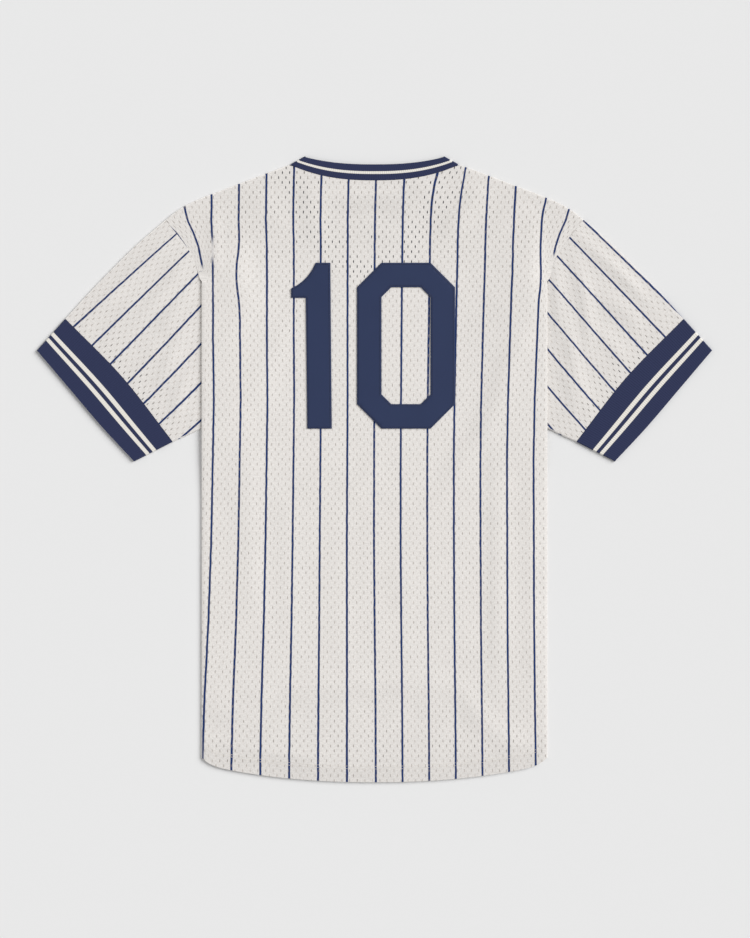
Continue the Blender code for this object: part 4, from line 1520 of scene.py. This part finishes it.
@dataclass(frozen=True)
class NumberStyle:
    """The proportions of the number's block numerals."""

    top: float = 252.6
    bottom: float = 49.6
    stroke: float = 30.0
    chamfer: float = 30.0
    hole_chamfer: float = 12.0
    zero_left: float = -21.4
    zero_right: float = 98.6
    one_left: float = -84.0
    one_lean: float = 1.8
    flag_length: float = 18.0
    flag_drop: float = 31.5
    flag_depth: float = 11.5
    flag_hollow: float = 4.4
    flag_points: int = 6

    @staticmethod
    def octagon(left: float, right: float, bottom: float, top: float, chamfer: float) -> tuple:
        """A rectangle with its corners cut."""
        return (
            (left + chamfer, bottom), (right - chamfer, bottom), (right, bottom + chamfer),
            (right, top - chamfer), (right - chamfer, top), (left + chamfer, top), (left, top - chamfer),
            (left, bottom + chamfer),
        )

    def zero(self) -> Numeral:
        """The 0: a tall octagon with a tall octagonal hole."""
        s = self.stroke
        outer = self.octagon(self.zero_left, self.zero_right, self.bottom, self.top, self.chamfer)
        hole = self.octagon(
            self.zero_left + s, self.zero_right - s, self.bottom + s, self.top - s, self.hole_chamfer
        )
        return Numeral("digit_zero", outer, hole, (self.zero_right - self.zero_left, self.top - self.bottom))

    def one(self) -> Numeral:
        """The 1: a stem with a short flag at its top left."""
        left, flag_left = self.one_left, self.one_left - self.flag_length
        tip = np.array((left + 0.4 * self.stroke, self.top))
        run = np.array((flag_left, self.top - self.flag_drop)) - tip
        inward = np.array((-run[1], run[0])) / np.linalg.norm(run)
        shares = np.linspace(0.0, 1.0, self.flag_points)
        upper = [tip + run * s + inward * self.flag_hollow * 4 * s * (1 - s) for s in shares]
        outline = (
            (left + self.one_lean, self.bottom), (left + self.one_lean + self.stroke, self.bottom),
            (left + self.stroke, self.top), *[tuple(place) for place in upper],
            (flag_left, self.top - self.flag_drop - self.flag_depth),
            (left, self.top - self.flag_drop - self.flag_depth),
        )
        width = self.stroke + self.flag_length + 2.0
        return Numeral("digit_one", outline, (), (width, self.top - self.bottom))


# Sewing


@dataclass
class Stitching:
    """Rows of stitches, made by Geometry Nodes along a path: each is a small rounded grain of thread."""

    tree: bpy.types.NodeTree = field(init=False)

    def __post_init__(self) -> None:
        """Builds the tree."""
        self.tree = bpy.data.node_groups.new("stitches along a seam", "GeometryNodeTree")
        face = self.tree.interface
        face.new_socket("Geometry", in_out="INPUT", socket_type="NodeSocketGeometry")
        for label, value in (("Pitch", 0.003), ("Length", 0.0022), ("Thickness", 0.0005)):
            face.new_socket(label, in_out="INPUT", socket_type="NodeSocketFloat").default_value = value
        face.new_socket("Thread", in_out="INPUT", socket_type="NodeSocketMaterial")
        face.new_socket("Geometry", in_out="OUTPUT", socket_type="NodeSocketGeometry")
        tree = self.tree
        given = add_node(tree, "NodeGroupInput").node.outputs
        curve = add_node(tree, "GeometryNodeMeshToCurve", given["Geometry"])
        spaced = {"Curve": curve, "Length": given["Pitch"]}
        spaced = add_node(tree, "GeometryNodeResampleCurve", inputs=spaced, mode="LENGTH")
        points = add_node(tree, "GeometryNodeCurveToPoints", spaced, mode="EVALUATED")
        grain = add_node(
            tree, "GeometryNodeMeshUVSphere", inputs={"Segments": 6, "Rings": 5, "Radius": 0.5}
        )
        size = add_node(
            tree, "ShaderNodeCombineXYZ", given["Thickness"], given["Thickness"], given["Length"]
        )
        tangent = {"Vector": points.node.outputs["Tangent"]}
        turn = add_node(tree, "FunctionNodeAlignRotationToVector", inputs=tangent, axis="Z")
        jitter = add_node(
            tree, "FunctionNodeRandomValue", out=1, inputs={2: 0.9, 3: 1.08, "Seed": 7}, data_type="FLOAT"
        )
        uneven = add_node(tree, VECTOR, size, inputs={"Scale": jitter}, operation="SCALE")
        stitches = {"Points": points, "Instance": grain, "Rotation": turn, "Scale": uneven}
        placed = add_node(tree, "GeometryNodeInstanceOnPoints", inputs=stitches)
        real = add_node(tree, "GeometryNodeRealizeInstances", placed)
        dyed = {"Geometry": real, "Material": given["Thread"]}
        add_node(tree, "NodeGroupOutput", add_node(tree, "GeometryNodeSetMaterial", inputs=dyed))

    def sew(
        self, name: str, paths: list[np.ndarray], thread: bpy.types.Material,
        pitch: float, length: float, thickness: float,
    ) -> bpy.types.Object:
        """Sews rows of stitches.

        Args:
            name: the piece's name.
            paths: the middle of each row, as points in mm.
            thread: the thread's finish.
            pitch: from one stitch to the next, in mm.
            length: each stitch's length, in mm.
            thickness: the thread's, in mm.

        Returns:
            The stitches.
        """
        points, edges = [], []
        for path in paths:
            start = len(points)
            points += (path * MM).tolist()
            edges += [(start + i, start + i + 1) for i in range(len(path) - 1)]
        mesh = bpy.data.meshes.new(name)
        mesh.from_pydata(points, edges, [])
        rough = put(f"{name}_path", mesh)
        maker = rough.modifiers.new("stitches", "NODES")
        maker.node_group = self.tree
        items = self.tree.interface.items_tree
        sockets = {item.name: item.identifier for item in items if item.in_out == "INPUT"}
        given = {"Pitch": pitch * MM, "Length": length * MM, "Thickness": thickness * MM, "Thread": thread}
        for label, value in given.items():
            maker[sockets[label]] = value
        piece = finished(rough, name)
        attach(piece, "root")
        LOG.info("%s: %d faces", name, len(piece.data.polygons))
        return piece


def on_back(plan: np.ndarray, above: float) -> np.ndarray:
    """Lays a plan line on the back's outer face, at a height above it."""
    height = back_height(plan[:, 0], plan[:, 1]) + BODY.mesh_wall / 2 + above
    return np.column_stack([plan, height])


def inset_loop(outline: tuple, inset: float, step: float = 1.5) -> np.ndarray:
    """A closed outline drawn again inside itself, or outside where inset is negative.

    Args:
        outline: the corners, anticlockwise.
        inset: how far inside.
        step: the spacing of the new points.

    Returns:
        The new loop's points, ending where it starts.
    """
    corners = np.array(outline)
    before, after = np.roll(corners, 1, axis=0), np.roll(corners, -1, axis=0)
    new = []
    for a, b, c in zip(before, corners, after):
        first, second = (b - a) / np.linalg.norm(b - a), (c - b) / np.linalg.norm(c - b)
        left_first, left_second = np.array([-first[1], first[0]]), np.array([-second[1], second[0]])
        bisector = left_first + left_second
        new.append(b + bisector * inset / (1 + left_first @ left_second))
    loop = np.array([*new, new[0]])
    return resample(loop, int(length_along(loop)[-1] / step) + 1)


@dataclass(frozen=True)
class SewingPlan:
    """Where the stitches go: their distances from an edge and their heights above the cloth."""

    hem_reach: float = 205.0
    hem_points: int = 400
    hem_shifts: tuple[float, float] = (-3.2, 0.0)
    hem_above: float = 0.05
    numeral_inset: float = 2.0
    numeral_above: float = BODY.seam_gap + BODY.twill_wall + 0.02


def sew_everything(style: NumberStyle, plan: SewingPlan) -> None:
    """Adds the stitches that show: the hem's double row and the rows round the numerals.

    Args:
        style: the numerals' proportions.
        plan: where the rows lie.
    """
    stitching = Stitching()
    ecru = Thread("ecru polyester thread", "#DCD7CF").material()
    navy = Thread("navy polyester thread", "#1E2545").material()
    x = np.linspace(-plan.hem_reach, plan.hem_reach, plan.hem_points)
    rows = [
        on_back(np.column_stack([x, BODY.hem_y(x) + BODY.hem_turn_up + shift]), plan.hem_above)
        for shift in plan.hem_shifts
    ]
    stitching.sew("hem_stitches", rows, ecru, 3.2, 2.7, 0.5)
    for numeral in (style.one(), style.zero()):
        edges = [(numeral.outline, plan.numeral_inset)]
        if numeral.hole:
            edges.append((numeral.hole, -plan.numeral_inset))
        loops = [on_back(inset_loop(edge, inset), plan.numeral_above) for edge, inset in edges]
        stitching.sew(f"{numeral.name}_stitches", loops, navy, 2.6, 2.4, 0.8)


# Studio


@dataclass(frozen=True)
class Studio:
    """The floor, the light and the camera straight above the garment."""

    camera_height: float = 3.2
    camera_centre: tuple[float, float] = (0.6, 0.2)
    sky: float = 0.36
    sun: float = 3.12
    sun_elevation: float = 35.0
    sun_azimuth: float = 24.0
    sun_width: float = 40.0
    fill: float = 0.5
    fill_elevation: float = 24.0
    fill_azimuth: float = 200.0
    fill_width: float = 70.0
    floor_half: float = 4.0
    floor_drop: float = 0.0003
    film: float = 36.0

    def build(self) -> None:
        """Builds the studio."""
        self.floor()
        self.light()
        self.camera()

    def floor(self) -> None:
        """Lays the floor just under the garment."""
        half = self.floor_half
        mesh = bpy.data.meshes.new("floor")
        corners = [(x * half, y * half, -self.floor_drop) for x, y in ((-1, -1), (1, -1), (1, 1), (-1, 1))]
        mesh.from_pydata(corners, [], [(0, 1, 2, 3)])
        mesh.materials.append(PaleFloor().material())
        put("floor", mesh)

    def light(self) -> None:
        """Hangs a wide soft lamp to the right and a weak one to the left, with even light all round."""
        world = bpy.data.worlds.new("studio")
        world.use_nodes = True
        ground = world.node_tree.nodes["Background"]
        ground.inputs["Color"].default_value = (1.0, 1.0, 1.0, 1.0)
        ground.inputs["Strength"].default_value = self.sky
        bpy.context.scene.world = world
        self.lamp("softbox", self.sun, self.sun_width, self.sun_elevation, self.sun_azimuth)
        self.lamp("reflector", self.fill, self.fill_width, self.fill_elevation, self.fill_azimuth)

    @staticmethod
    def lamp(name: str, power: float, width: float, elevation: float, azimuth: float) -> None:
        """Hangs a wide lamp far away.

        Args:
            name: its name.
            power: its strength.
            width: how wide it looks from the garment, in degrees.
            elevation: how high it stands, in degrees.
            azimuth: its bearing from X, in degrees.
        """
        lamp = bpy.data.lights.new(name, "SUN")
        lamp.energy = power
        lamp.angle = math.radians(width)
        hung = put(name, lamp)
        rise, turn = math.radians(elevation), math.radians(azimuth)
        towards = Vector((math.cos(rise) * math.cos(turn), math.cos(rise) * math.sin(turn), math.sin(rise)))
        hung.rotation_mode = "QUATERNION"
        hung.rotation_quaternion = towards.to_track_quat("Z", "Y")

    def camera(self) -> None:
        """Hangs the camera so that the picture spans what the photo does."""
        lens = bpy.data.cameras.new("camera")
        lens.sensor_width = self.film
        lens.lens = self.film * self.camera_height / (PICTURE_HEIGHT * MM_PER_PIXEL * MM)
        camera = put("camera", lens)
        camera.location = (self.camera_centre[0] * MM, self.camera_centre[1] * MM, self.camera_height)
        bpy.context.scene.camera = camera
        bpy.context.scene.view_settings.view_transform = "Standard"


def main() -> None:
    """Builds the jersey's cloth, its sewing and the studio."""
    logging.basicConfig(level=logging.INFO, format="%(message)s")
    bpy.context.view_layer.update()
    cloth = MeshCloth().material()
    sleeve_name = "polyester mesh, pinstriped, sleeves"
    sleeve_cloth = MeshCloth(sleeve_name, stripe_pitch=SLEEVE_STRIPES.pitch).material()
    BackPanel(cloth).build()
    FrontPanel(cloth).build()
    cuff_rib = RibKnit("rib knit, cuffs", ((23.6, 28.7), (33.4, 38.3))).material()
    collar_rib = RibKnit("rib knit, collar", ((8.5, 11.8),)).material()
    for side in Side:
        Sleeve(side, sleeve_cloth).build()
        Cuff(side, cuff_rib).build()
    Collar(collar_rib).build()
    style = NumberStyle()
    twill = TackleTwill().material()
    for numeral in (style.one(), style.zero()):
        numeral.build(twill)
    sew_everything(style, SewingPlan())
    Studio().build()
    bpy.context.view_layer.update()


if __name__ == "__main__":
    main()
